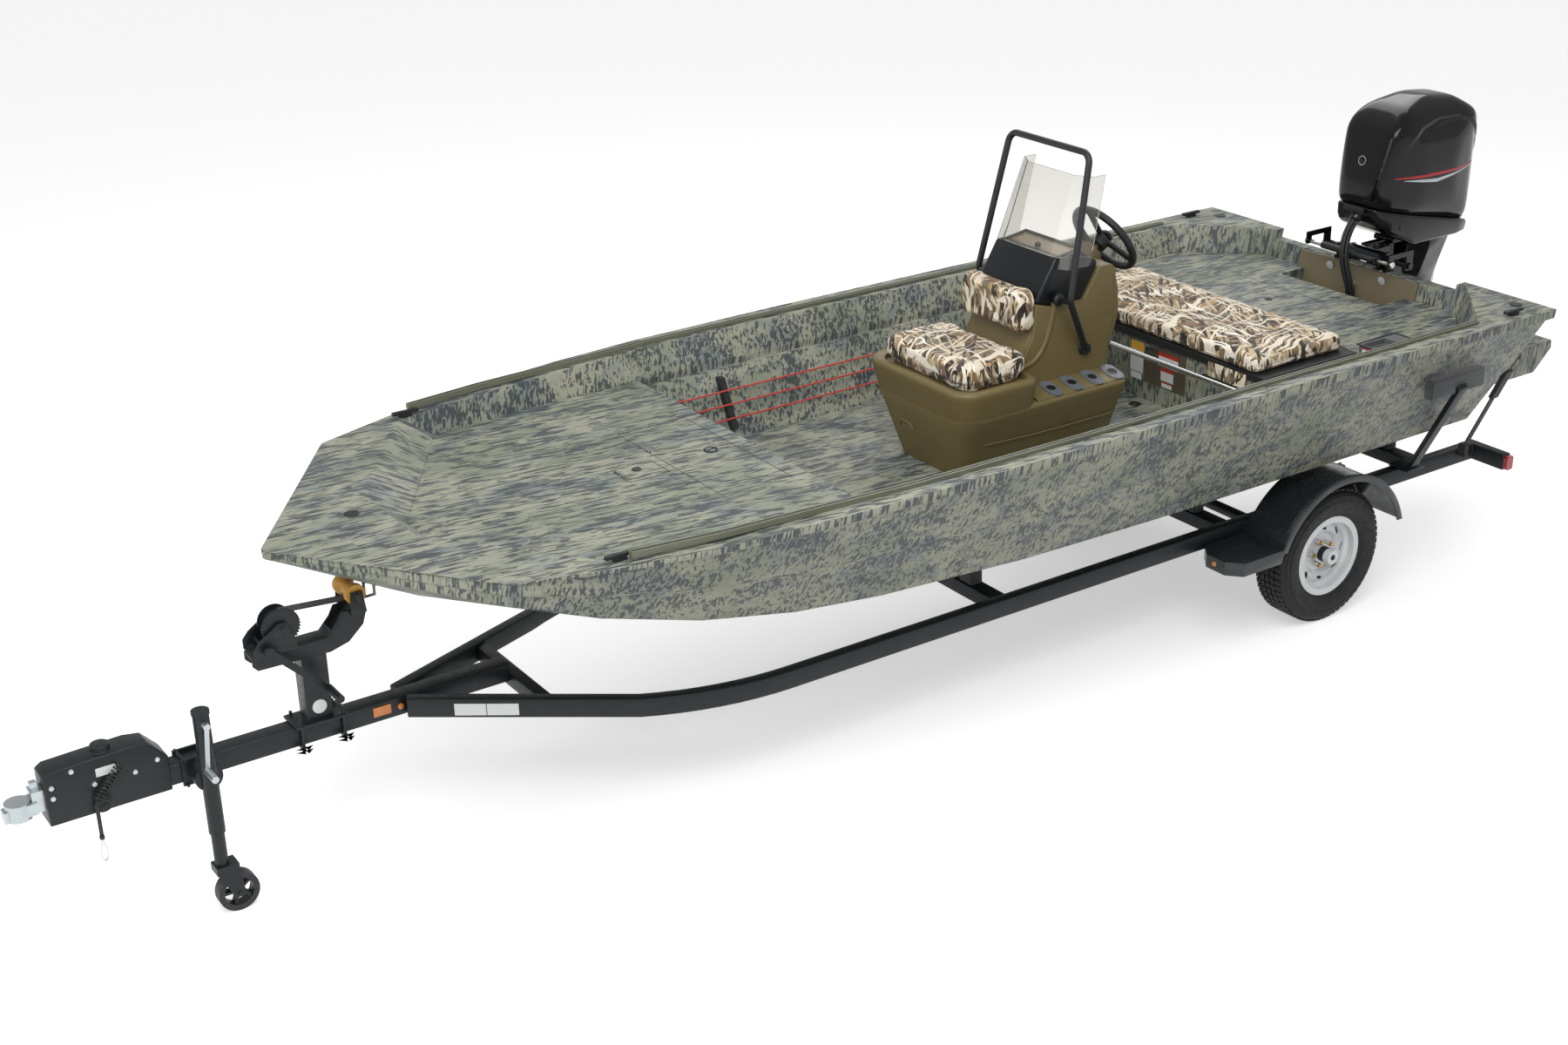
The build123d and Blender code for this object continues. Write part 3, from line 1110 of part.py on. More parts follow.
def tie_downs():
    """Straps from the rails to the transom eyes."""
    low, high = (HULL_LENGTH + 30.0, 640.0, 545.0), (HULL_LENGTH - 38.0, HALF_BEAM - 150.0, 1075.0)
    strap = flat_bar(at(*low), at(*high), 30.0, 8.0)
    buckle_low = [low[i] + (high[i] - low[i]) * 0.55 for i in range(3)]
    buckle_high = [low[i] + (high[i] - low[i]) * 0.85 for i in range(3)]
    strap = strap + flat_bar(at(*buckle_low), at(*buckle_high), 44.0, 22.0)
    eye_s = transom_s(high[2]) + FIT
    eye = block(eye_s, high[0] + 12.0, high[1] - 12.0, high[1] + 12.0, high[2] - 12.0, high[2] + 12.0) - hull_outer()
    hook = block(low[0] - 14.0, low[0] + 14.0, RAIL_OUTER + FIT, low[1] + 12.0, RAIL_TOP - 30.0, low[2] + 4.0)
    return both_sides(strap + eye + hook)


ROLLER_S, ROLLER_Z = 296.0, 1050.0
ROLLER_R, ROLLER_HALF = 38.0, 62.0
ROLLER_PIN_R = 8.0
POST_S = (76.0, 172.0)
HEAD_TOP = 905.0
DRUM_S, DRUM_Z = 19.0, 995.0
DRUM_R = 42.0
GEAR_R = 72.0
PINION_R = 18.0
CRANK_S, CRANK_Z = -50.0, 935.0
PLATE_Y = 52.0              # inner faces of the winch's side plates


def winch_frame():
    """Base and side plates of the winch with its fixed shaft."""
    body = block(-94.0, 66.0, -PLATE_Y - 6.0, PLATE_Y + 6.0, HEAD_TOP - 1.0, HEAD_TOP + 5.0)
    outline = ((-94.0, HEAD_TOP + 2.0), (66.0, HEAD_TOP + 2.0), (58.0, 960.0), (36.0, 1016.0), (2.0, 1016.0),
               (-70.0, 968.0), (-94.0, 940.0))
    for y in (PLATE_Y, -PLATE_Y - 6.0):
        body = body + side_profile(outline, y, y + 6.0)
    body = body + round_bar(at(DRUM_S, -66.0, DRUM_Z), at(DRUM_S, 66.0, DRUM_Z), 8.0)
    return body - round_bar(at(CRANK_S, -80.0, CRANK_Z), at(CRANK_S, 80.0, CRANK_Z), 8.0 + RUN_FIT)



def winch_stand():
    """Post on the tongue with the curved head that carries winch and roller."""
    half = TONGUE / 2
    head_half = half + 2.0
    post = block(*POST_S, -half, half, TONGUE_TOP_Z + 10.0, HEAD_TOP - 6.0)
    foot = block(20.0, 228.0, -62.0, 62.0, TONGUE_TOP_Z + FIT, TONGUE_TOP_Z + 10.0)
    for s in (44.0, 204.0):
        for y in (-50.0, 50.0):
            foot = foot + round_bar(at(s, y, TONGUE_TOP_Z - TONGUE - 22.0), at(s, y, TONGUE_TOP_Z + 26.0), 6.0)
        foot = foot + block(s - 6.0, s + 6.0, -56.0, 56.0, TONGUE_TOP_Z - TONGUE - 14.0, TONGUE_TOP_Z - TONGUE - FIT)
    outline = ((-100.0, HEAD_TOP), (-100.0, 872.0), (-82.0, 852.0), (190.0, 846.0), (262.0, 866.0), (322.0, 920.0),
               (338.0, 970.0), (332.0, 1060.0), (266.0, 1060.0), (250.0, 1000.0), (222.0, 950.0), (180.0, HEAD_TOP))
    head = side_profile(outline, -head_half, head_half)
    wall = head_half - 6.0
    head = head - block(-110.0, 196.0, -wall, wall, 700.0, HEAD_TOP - 6.0)
    head = head - block(202.0, 400.0, -wall, wall, 884.0, 1200.0)
    body = post + foot + head
    ear_y = ROLLER_HALF + 4.0
    for sign in (-1, 1):
        ear = side_profile(((ROLLER_S - 28.0, 985.0), (ROLLER_S + 32.0, 985.0), (ROLLER_S + 22.0, ROLLER_Z + 14.0),
                            (ROLLER_S - 22.0, ROLLER_Z + 14.0)), sign * ear_y, sign * (ear_y + 6.0))
        tie = block(ROLLER_S - 28.0, ROLLER_S + 32.0, sign * wall, sign * (ear_y + 6.0), 979.0, 987.0)
        body = body + ear + tie
    body = body - block(230.0, 400.0, -62.0, 62.0, 988.0, 1200.0)
    pin = round_bar(at(ROLLER_S, -ear_y - 10.0, ROLLER_Z), at(ROLLER_S, ear_y + 10.0, ROLLER_Z), ROLLER_PIN_R)
    return body + pin + winch_frame()


def bow_roller():
    """Waisted roller under the bow."""
    profile = Polyline((ROLLER_PIN_R + RUN_FIT, -ROLLER_HALF), (ROLLER_R, -ROLLER_HALF), (ROLLER_R, -40.0),
                       (25.0, -18.0), (25.0, 18.0), (ROLLER_R, 40.0), (ROLLER_R, ROLLER_HALF),
                       (ROLLER_PIN_R + RUN_FIT, ROLLER_HALF), close=True)
    plane = Plane(origin=at(ROLLER_S, 0.0, ROLLER_Z), z_dir=(0, 1, 0), x_dir=(1, 0, 0))
    return plane * revolve(Plane.XZ * make_face(profile), Axis.Z)


def winch_drum():
    """Drum with the wound strap and its large toothed gear."""
    drum = round_bar(at(DRUM_S, -30.0, DRUM_Z), at(DRUM_S, 30.0, DRUM_Z), DRUM_R)
    gear = round_bar(at(DRUM_S, 32.0, DRUM_Z), at(DRUM_S, 42.0, DRUM_Z), GEAR_R - 6.0)
    teeth = None
    for index in range(36):
        tooth = Box(9.0, 6.0, 10.0, align=(Align.CENTER, Align.CENTER, Align.CENTER))
        tooth = Pos(*at(DRUM_S, 37.0, DRUM_Z)) * Rot(0, index * 10.0, 0) * Pos(GEAR_R - 5.5, 0, 0) * Rot(90, 0, 0) * tooth
        teeth = tooth if teeth is None else teeth + tooth
    flange = round_bar(at(DRUM_S, -36.0, DRUM_Z), at(DRUM_S, -30.0, DRUM_Z), GEAR_R - 12.0)
    neck = round_bar(at(DRUM_S, 29.0, DRUM_Z), at(DRUM_S, 33.0, DRUM_Z), DRUM_R - 8.0)
    body = drum + gear + flange + neck + teeth
    return body - round_bar(at(DRUM_S, -60.0, DRUM_Z), at(DRUM_S, 60.0, DRUM_Z), 8.0 + RUN_FIT)


def winch_crank():
    """Handle with its shaft through the winch frame."""
    shaft = round_bar(at(CRANK_S, -PLATE_Y - 12.0, CRANK_Z), at(CRANK_S, 90.0, CRANK_Z), 8.0)
    pinion = round_bar(at(CRANK_S, 31.0, CRANK_Z), at(CRANK_S, 44.0, CRANK_Z), PINION_R)
    end = (150.0, 104.0, 732.0)
    arm = flat_bar(at(CRANK_S, 86.0, CRANK_Z), at(end[0], 86.0, end[2]), 26.0, 8.0, x_dir=(0.707, 0, 0.707))
    arm = arm + round_bar(at(CRANK_S, 80.0, CRANK_Z), at(CRANK_S, 94.0, CRANK_Z), 18.0)
    grip = round_bar(at(end[0], 82.0, end[2]), at(end[0], 190.0, end[2]), 15.0)
    return shaft + pinion + arm + grip


def winch_strap():
    """Strap from the drum under the roller to the bow eye."""
    start = (DRUM_S + 12.0, 0.0, DRUM_Z + DRUM_R + 4.0)
    under = (ROLLER_S, 0.0, ROLLER_Z - 25.0 - 6.0)
    end = (EYE_S - 30.0, 0.0, keel_z(EYE_S) - 36.0)
    strap = flat_bar(at(*start), at(*under), 4.0, 46.0, x_dir=(0, 0, 1))
    strap = strap + flat_bar(at(*under), at(*end), 4.0, 40.0, x_dir=(0, 0, 1))
    return strap - round_bar(at(DRUM_S, -80.0, DRUM_Z), at(DRUM_S, 80.0, DRUM_Z), DRUM_R + 1.0)


def actuator():
    """Surge brake housing over the tongue's front end."""
    half = 52.0
    tongue_top = TONGUE_TOP_Z + FIT
    points = ((-864.0, 505.0), (-864.0, 690.0), (-840.0, 706.0), (-560.0, 716.0), (-500.0, 706.0),
              (-440.0, 640.0), (-440.0, 505.0))
    body = side_profile(points, -half, half)
    room = block(-COUPLER_REACH + 160.0, 0.0, -TONGUE / 2 - FIT, TONGUE / 2 + FIT, 400.0, tongue_top)
    cap = round_bar(at(-650.0, 0.0, 700.0), at(-650.0, 0.0, 736.0), 34.0)
    return body - room + cap


BALL_R = 25.4
BALL_S, BALL_Z = -948.0, 575.0


def coupler():
    """Ball coupler: socket, neck and latch."""
    neck = block(-905.0, -864.0 - FIT, -30.0, 30.0, 560.0, 640.0)
    cup = Pos(*at(BALL_S, 0.0, BALL_Z + 4.0)) * Cylinder(44.0, 62.0)
    nose = block(-COUPLER_REACH, BALL_S, -22.0, 22.0, 548.0, 590.0)
    body = neck + cup + nose + block(-948.0, -890.0, -40.0, 40.0, 560.0, 604.0)
    socket = Pos(*at(BALL_S, 0.0, BALL_Z)) * Sphere(BALL_R + 0.4)
    mouth = Pos(*at(BALL_S, 0.0, BALL_Z - 40.0)) * Cylinder(BALL_R + 0.4, 80.0)
    latch = block(-900.0, -876.0, -12.0, 12.0, 604.0, 668.0)
    return (body - socket - mouth) + latch


JACK_PIVOT_Z = 548.0


def jack_bracket():
    """Swivel bracket clamped to the tongue's port side."""
    inner = TONGUE / 2 + FIT
    plate = block(JACK_S - 70.0, JACK_S + 70.0, inner, inner + 10.0, 500.0, 600.0)
    pivot = round_bar(at(JACK_S, inner + 8.0, JACK_PIVOT_Z), at(JACK_S, inner + 26.0, JACK_PIVOT_Z), 52.0)
    pin = round_bar(at(JACK_S, inner + 20.0, JACK_PIVOT_Z), at(JACK_S, inner + 40.0, JACK_PIVOT_Z), 16.0)
    back = block(JACK_S - 70.0, JACK_S + 70.0, -inner - 10.0, -inner, 500.0, 600.0)
    bolts = None
    for s in (JACK_S - 56.0, JACK_S + 56.0):
        for z in (TONGUE_TOP_Z - TONGUE - 8.0, TONGUE_TOP_Z + 7.0):
            bolt = round_bar(at(s, -inner - 18.0, z), at(s, inner + 18.0, z), 6.0)
            bolts = bolt if bolts is None else bolts + bolt
    return plate + pivot + pin + back + bolts


def jack_tube():
    """Jack tube with its collar on the pivot and the inner leg."""
    top, low = 800.0, 200.0
    outer = round_bar(at(JACK_S, JACK_Y, 330.0), at(JACK_S, JACK_Y, top), JACK_R)
    inner = round_bar(at(JACK_S, JACK_Y, low), at(JACK_S, JACK_Y, 340.0), JACK_R - 5.0)
    collar_in = TONGUE / 2 + 26.0 + 2 * FIT
    collar = round_bar(at(JACK_S, collar_in, JACK_PIVOT_Z), at(JACK_S, JACK_Y, JACK_PIVOT_Z), 50.0)
    body = outer + inner + collar + round_bar(at(JACK_S, JACK_Y, top), at(JACK_S, JACK_Y, top + 14.0), JACK_R + 3.0)
    stem = round_bar(at(JACK_S, JACK_Y, low - 26.0), at(JACK_S, JACK_Y, low + 1.0), 10.0)
    body = body + stem
    return body - round_bar(at(JACK_S, 0.0, JACK_PIVOT_Z), at(JACK_S, TONGUE / 2 + 41.0, JACK_PIVOT_Z), 16.0 + RUN_FIT)


JACK_CRANK_Z = 770.0


def jack_crank():
    """Side-wind crank near the top of the jack."""
    out = JACK_Y + JACK_R + FIT
    hub = round_bar(at(JACK_S, out, JACK_CRANK_Z), at(JACK_S, out + 26.0, JACK_CRANK_Z), 12.0)
    arm = flat_bar(at(JACK_S, out + 22.0, JACK_CRANK_Z + 8.0), at(JACK_S - 18.0, out + 22.0, JACK_CRANK_Z - 170.0), 16.0, 7.0)
    grip = round_bar(at(JACK_S - 18.0, out + 20.0, JACK_CRANK_Z - 165.0), at(JACK_S - 18.0, out + 100.0, JACK_CRANK_Z - 165.0), 13.0)
    return hub + arm + grip


CASTER_TRAIL = 42.0


def jack_fork():
    """Caster fork that swivels on the jack's stem."""
    top = 199.0
    s = JACK_S + CASTER_TRAIL
    plate = block(JACK_S - 30.0, s + 10.0, JACK_Y - 33.0, JACK_Y + 33.0, 168.0, top - FIT)
    body = plate
    for sign in (-1, 1):
        cheek = side_profile(((JACK_S - 26.0, 170.0), (s + 10.0, 170.0), (s + 22.0, JACK_WHEEL_R - 12.0),
                              (s - 18.0, JACK_WHEEL_R - 16.0)), JACK_Y + sign * 27.0, JACK_Y + sign * 33.0)
        body = body + cheek
    pin = round_bar(at(s, JACK_Y - 36.0, JACK_WHEEL_R), at(s, JACK_Y + 36.0, JACK_WHEEL_R), 8.0)
    body = body + pin
    return body - round_bar(at(JACK_S, JACK_Y, 160.0), at(JACK_S, JACK_Y, 210.0), 10.0 + RUN_FIT)


def jack_wheel():
    """Spoked caster wheel."""
    s = JACK_S + CASTER_TRAIL
    plane = Plane(origin=at(s, JACK_Y, JACK_WHEEL_R), z_dir=(0, 1, 0), x_dir=(1, 0, 0))
    tread = Cylinder(JACK_WHEEL_R, 44.0) - Cylinder(JACK_WHEEL_R - 22.0, 50.0)
    hub = Cylinder(18.0, 48.0)
    body = tread + hub
    for index in range(5):
        spoke = Rot(0, 0, index * 72.0) * Box(JACK_WHEEL_R - 14.0, 10.0, 30.0, align=(Align.MIN, Align.CENTER, Align.CENTER))
        body = body + spoke
    return plane * (body - Cylinder(8.0 + RUN_FIT, 60.0))


def write(name, shape):
    """Save one node."""
    if isinstance(shape, (list, ShapeList)):
        shape = Compound(children=list(shape))
    export_step(shape, os.path.join("parts", name + ".step"))


def main():
    os.makedirs("parts", exist_ok=True)
    nodes = {
        "hull": hull(),
        "gunwale_tracks": gunwale_tracks(),
        "bow_deck": bow_deck() + bow_bulkhead(),
        "bow_hatch": lid("bow_hatch"),
        "bow_small_hatch": lid("bow_small_hatch"),
        "cockpit_floor": cockpit_floor(),
        "rear_bench": rear_bench(),
        "bench_lid": bench_lid(),
        "bench_cushion": bench_cushion(),
        "rear_deck": rear_deck() + well_box(),
        "rear_hatch": lid("rear_hatch"),
        "transom_plate": transom_plate(),
        "cleats": cleats(),
        "rod_rack": rod_rack(),
        "rod_lines": rod_lines(),
        "cross_bar": cross_bar(),
        "port_tray": port_tray(),
        "console_tub": console_tub(),
        "console_body": console_body() + helm_shaft(),
        "console_pod": console_pod(),
        "rod_holders": rod_holders(),
        "windscreen": windscreen(),
        "grab_rail": grab_rail(),
        "steering_wheel": steering_wheel(),
        "seat_cushion": seat_cushion(),
        "backrest_cushion": backrest_cushion(),
        "motor_clamp": motor_clamp(),
        "motor_swivel": motor_swivel(),
        "steering_ram": steering_ram(),
        "motor_leg": motor_leg(),
        "motor_pan": motor_pan(),
        "motor_cowl": cowl(),
        "propeller": propeller(),
        "rigging_hose": rigging_hose(),
        "tongue": tongue(),
        "frame_rails": both_sides(side_rail() + light_bracket()),
        "crossmembers": crossmembers(),
        "bunks": bunks(),
        "axle": axle(),
        "fenders": both_sides(fender()),
        "wheel_port": wheel(1),
        "wheel_starboard": wheel(-1),
        "tyre_port": tyre(1),
        "tyre_starboard": tyre(-1),
        "tail_lamps": tail_lamps(),
        "guide_posts": guide_posts(),
        "guide_pads": guide_pads(),
        "tie_downs": tie_downs(),
        "winch_stand": winch_stand(),
        "winch_drum": winch_drum(),
        "winch_crank": winch_crank(),
        "winch_strap": winch_strap(),
        "bow_roller": bow_roller(),
        "brake_actuator": actuator(),
        "coupler": coupler(),
    }
    jack = {"jack_bracket": jack_bracket(), "jack_tube": jack_tube(), "jack_crank": jack_crank(),
            "jack_fork": jack_fork(), "jack_wheel": jack_wheel()}
    for name, shape in {**nodes, **jack}.items():
        write(name, shape)


main()
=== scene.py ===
"""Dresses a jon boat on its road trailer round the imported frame: finishes, soft pieces, fittings and stage.

Places are given as stations (millimetres aft of the bow tip), half widths and heights, as in the part's
source.
"""
import json
from math import atan2, cos, pi, radians, sin

import bmesh
import bpy
from bpy.props import FloatProperty, FloatVectorProperty, PointerProperty
from bpy.types import Operator, Panel, PropertyGroup
from mathutils import Matrix, Quaternion, Vector, noise
from mathutils.bvhtree import BVHTree

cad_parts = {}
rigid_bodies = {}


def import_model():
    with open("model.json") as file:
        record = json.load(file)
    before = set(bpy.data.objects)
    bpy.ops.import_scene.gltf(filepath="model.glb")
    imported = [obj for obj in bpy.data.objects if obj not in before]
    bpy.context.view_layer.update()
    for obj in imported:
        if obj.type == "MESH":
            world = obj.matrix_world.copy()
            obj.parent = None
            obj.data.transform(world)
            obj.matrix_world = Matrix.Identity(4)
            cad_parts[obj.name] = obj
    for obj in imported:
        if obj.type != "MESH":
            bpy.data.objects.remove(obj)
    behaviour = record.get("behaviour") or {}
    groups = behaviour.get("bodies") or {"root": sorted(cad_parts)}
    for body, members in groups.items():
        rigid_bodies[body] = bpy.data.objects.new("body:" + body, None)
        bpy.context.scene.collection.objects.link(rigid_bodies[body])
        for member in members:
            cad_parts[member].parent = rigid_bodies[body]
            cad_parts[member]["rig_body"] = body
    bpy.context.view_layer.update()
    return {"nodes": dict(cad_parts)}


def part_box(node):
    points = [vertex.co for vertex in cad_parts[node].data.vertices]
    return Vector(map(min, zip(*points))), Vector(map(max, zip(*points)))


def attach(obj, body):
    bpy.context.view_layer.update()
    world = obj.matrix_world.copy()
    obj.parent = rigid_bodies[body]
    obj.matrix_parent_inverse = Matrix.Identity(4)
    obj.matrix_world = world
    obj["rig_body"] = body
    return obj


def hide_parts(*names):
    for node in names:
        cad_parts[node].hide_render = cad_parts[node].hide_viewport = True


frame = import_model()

bl_info = {
    "name": "Jon boat dresser",
    "version": (1, 0, 0),
    "blender": (4, 5, 0),
    "location": "3D View > Sidebar > Boat",
    "description": "Finishes and fittings of a jon boat on its trailer",
    "category": "Object",
}

BOW_X = 2.635               # the bow tip in the frame, in metres
ROOT = "boat_on_trailer"    # the body that hull and trailer share

# Places that several pieces share, in millimetres
FLOOR_Z = 900
DECK_Z = 1205
BENCH_FACE = 4150
AXLE_S = 4538
WHEEL_Y = 721.5
TYRE_R = 313


def at(station, y, z):
    """Point in metres from a station, a half width and a height in millimetres."""
    return Vector((BOW_X - station / 1000, y / 1000, z / 1000))


def shade(code):
    """Linear colour of a six-figure code."""
    values = [int(code[i:i + 2], 16) / 255 for i in (0, 2, 4)]
    return tuple(v / 12.92 if v < 0.04045 else ((v + 0.055) / 1.055) ** 2.4 for v in values)


def linear(tint):
    """Linear colour of a code, or of a property that holds a colour."""
    return shade(tint) if isinstance(tint, str) else tuple(tint)


def smoothstep(value, low, high):
    """Share that eases from 0 at low to 1 at high."""
    share = min(max((value - low) / (high - low), 0.0), 1.0)
    return share * share * (3 - 2 * share)


def colour(name, code, about):
    return FloatVectorProperty(name=name, description=about, default=shade(code), subtype="COLOR",
                               min=0.0, max=1.0)


def length(name, default, about):
    return FloatProperty(name=name, description=about, default=default, subtype="DISTANCE",
                         unit="LENGTH")


class BoatPaint(PropertyGroup):
    """Colours of the boat, its motor and its trailer."""
    hull_base: colour("Hull base", "929382", "Khaki ground of the hull's printed finish")
    hull_patch: colour("Hull patches", "6f7878", "Slate patches of the hull's printed finish")
    hull_moss: colour("Hull moss", "7d8371", "Grey-green patches of the hull's printed finish")
    hull_streak: colour("Hull streaks", "383d42", "Dark wavy streaks of the hull's printed finish")
    reed_pale: colour("Pale reeds", "dcd1bb", "Palest reeds on the seat covers")
    reed_tan: colour("Tan reeds", "a48c68", "Tan reeds on the seat covers")
    reed_dark: colour("Reed shadow", "2a2421", "Shadow between the reeds on the seat covers")
    console: colour("Console", "70633f", "Moulded console")
    transom: colour("Transom plate", "746a52", "Backing plate under the motor")
    trailer: colour("Trailer", "14191b", "Coated trailer frame")
    cowl: colour("Cowl", "050607", "Gloss motor cover")
    stripe: colour("Stripe", "b5161c", "Stripe on the motor cover")
    amber: colour("Amber", "d97c1a", "Reflectors and side lamps")
    roller: colour("Bow roller", "cc9636", "Bow roller")


class BoatSizes(PropertyGroup):
    """Sizes of what is added round the frame."""
    streak_length: length("Streak length", 0.11, "Length of a streak on the hull")
    streak_width: length("Streak width", 0.0115, "Width of a streak on the hull")
    reed_length: length("Reed length", 0.30, "Length of a reed on the seat covers")
    reed_width: length("Reed width", 0.021, "Width of a reed on the seat covers")
    welt: length("Welt", 0.0028, "Radius of the seat pads' welts")
    tread_depth: length("Tread depth", 0.006, "Depth of the tyres' tread")
    strand: length("Hose strand", 0.0072, "Radius of a hose in the rigging bundle")


def paint():
    return bpy.context.scene.boat_paint


def sizes():
    return bpy.context.scene.boat_sizes


# Finishes

class Finish:
    """One material's node tree, built step by step in the piece's own coordinates."""

    def __init__(self, name, **sockets):
        self.material = bpy.data.materials.new(name)
        self.material.use_nodes = True
        self.tree = self.material.node_tree
        self.shader = self.tree.nodes["Principled BSDF"]
        self.place = self.tree.nodes.new("ShaderNodeTexCoord")
        for key, value in sockets.items():
            self.feed(self.shader.inputs[key.replace("_", " ")], value)

    def feed(self, socket, value):
        if isinstance(value, bpy.types.NodeSocket):
            self.tree.links.new(value, socket)
        elif hasattr(value, "__len__") and len(value) == 3 and socket.type == "RGBA":
            socket.default_value = (*value, 1.0)
        else:
            socket.default_value = value

    def node(self, kind, inputs=None, **settings):
        made = self.tree.nodes.new("ShaderNode" + kind)
        for key, value in settings.items():
            setattr(made, key, value)
        for key, value in (inputs or {}).items():
            self.feed(made.inputs[key], value)
        return made

    def grain(self, scale, stretch=(1, 1, 1), turn=(0, 0, 0), detail=2.0, warp=0.0, source=None,
              shift=(0, 0, 0)):
        """Noise, drawn out along the axes by stretch."""
        start = source or self.place.outputs["Object"]
        if any(turn) or any(shift):
            start = self.node("Mapping", {"Vector": start, "Rotation": turn, "Location": shift}).outputs[0]
        drawn = self.node("Mapping", {"Vector": start, "Scale": [scale * s for s in stretch]}).outputs[0]
        return self.node("TexNoise", {"Vector": drawn, "Scale": 1.0, "Detail": detail,
                                      "Distortion": warp}).outputs[0]

    def steps(self, value, *stops):
        """Colour ramp; each stop is a place and a grey or colour."""
        ramp = self.node("ValToRGB", {"Fac": value})
        elements = ramp.color_ramp.elements
        while len(elements) < len(stops):
            elements.new(0.5)
        for element, (place, tint) in zip(elements, sorted(stops, key=lambda stop: stop[0])):
            element.position = place
            element.color = (tint, tint, tint, 1) if isinstance(tint, (int, float)) else (*tint, 1)
        return ramp.outputs[0]

    def mix(self, share, first, second, mode="MIX"):
        made = self.node("Mix", data_type="RGBA", blend_type=mode)
        self.feed(made.inputs[0], share)
        self.feed(made.inputs[6], first)
        self.feed(made.inputs[7], second)
        return made.outputs[2]

    def math(self, first, second, operation="MULTIPLY"):
        made = self.node("Math", operation=operation)
        self.feed(made.inputs[0], first)
        self.feed(made.inputs[1], second)
        return made.outputs[0]

    def base(self, value):
        self.feed(self.shader.inputs["Base Color"], value)

    def rough(self, low, high, scale=40.0):
        self.feed(self.shader.inputs["Roughness"], self.steps(self.grain(scale), (0.3, low), (0.7, high)))

    def relief(self, height, strength, depth):
        bump = self.node("Bump", {"Height": height, "Strength": strength, "Distance": depth})
        self.feed(self.shader.inputs["Normal"], bump.outputs[0])
        return bump


def coated(tint, other, low, high, scale=30.0, depth=0.0003, strength=0.15, **sockets):
    """Maker of a lightly varied solid finish; other is a second colour or a share of the first."""
    def make(name):
        made = Finish(name, **sockets)
        first = linear(tint)
        second = tuple(c * other for c in first) if isinstance(other, float) else linear(other)
        made.base(made.mix(made.grain(scale * 0.2, detail=4.0), first, second))
        made.rough(low, high, scale)
        made.relief(made.grain(scale * 14, detail=3.0), strength, depth)
        return made.material
    return make


def hull_print(name):
    """Printed streaks: along the boat on decks, upright on sides."""
    tone, size = paint(), sizes()
    made = Finish(name, Specular_IOR_Level=0.35)
    facing = made.node("SeparateXYZ", {"Vector": made.place.outputs["Normal"]}).outputs[2]
    level = made.math(facing, facing)
    flat = made.node("MapRange", {"Value": level, "From Min": 0.3, "From Max": 0.5}).outputs[0]
    across, along = 1 / size.streak_width, 1 / size.streak_length
    lie = made.grain(1.0, (along, across, along), (0, 0, radians(9)), 2.5, 0.9)
    stand = made.grain(1.0, (across, across, along), (0, radians(12), 0), 2.5, 0.7)
    streak = made.mix(flat, stand, lie)
    patches = made.grain(4.2, (1.0, 1.5, 1.6), detail=3.0, warp=0.4)
    blots = made.grain(13.0, (0.8, 1.5, 1.1), detail=3.0, warp=0.6, shift=(3.1, 1.7, 0.4))
    moss = made.grain(3.1, (0.8, 1.3, 1.2), detail=2.0, shift=(7.3, 2.9, 5.1))
    ground = made.mix(made.steps(patches, (0.49, 0.0), (0.62, 0.8)), tuple(tone.hull_base),
                      tuple(tone.hull_patch))
    ground = made.mix(made.steps(moss, (0.5, 0.0), (0.62, 0.85)), ground, tuple(tone.hull_moss))
    lift = made.math(made.math(blots, -0.5, "ADD"), 0.36)
    lift = made.math(lift, made.math(made.math(patches, -0.5, "ADD"), 0.25), "ADD")
    line = made.steps(made.math(streak, lift, "ADD"), (0.508, 0.0), (0.54, 1.0))
    faint = made.grain(1.0, (along * 0.8, across * 0.7, along * 0.8), (0, 0, radians(-6)), 2.0, 0.8,
                       shift=(1.3, 4.1, 2.2))
    ground = made.mix(made.steps(faint, (0.55, 0.0), (0.60, 0.45)), ground, tuple(tone.hull_patch))
    made.base(made.mix(made.math(line, 0.88), ground, tuple(tone.hull_streak)))
    made.rough(0.42, 0.6, 25.0)
    made.relief(made.grain(320.0, detail=3.0), 0.12, 0.0004)
    return made.material


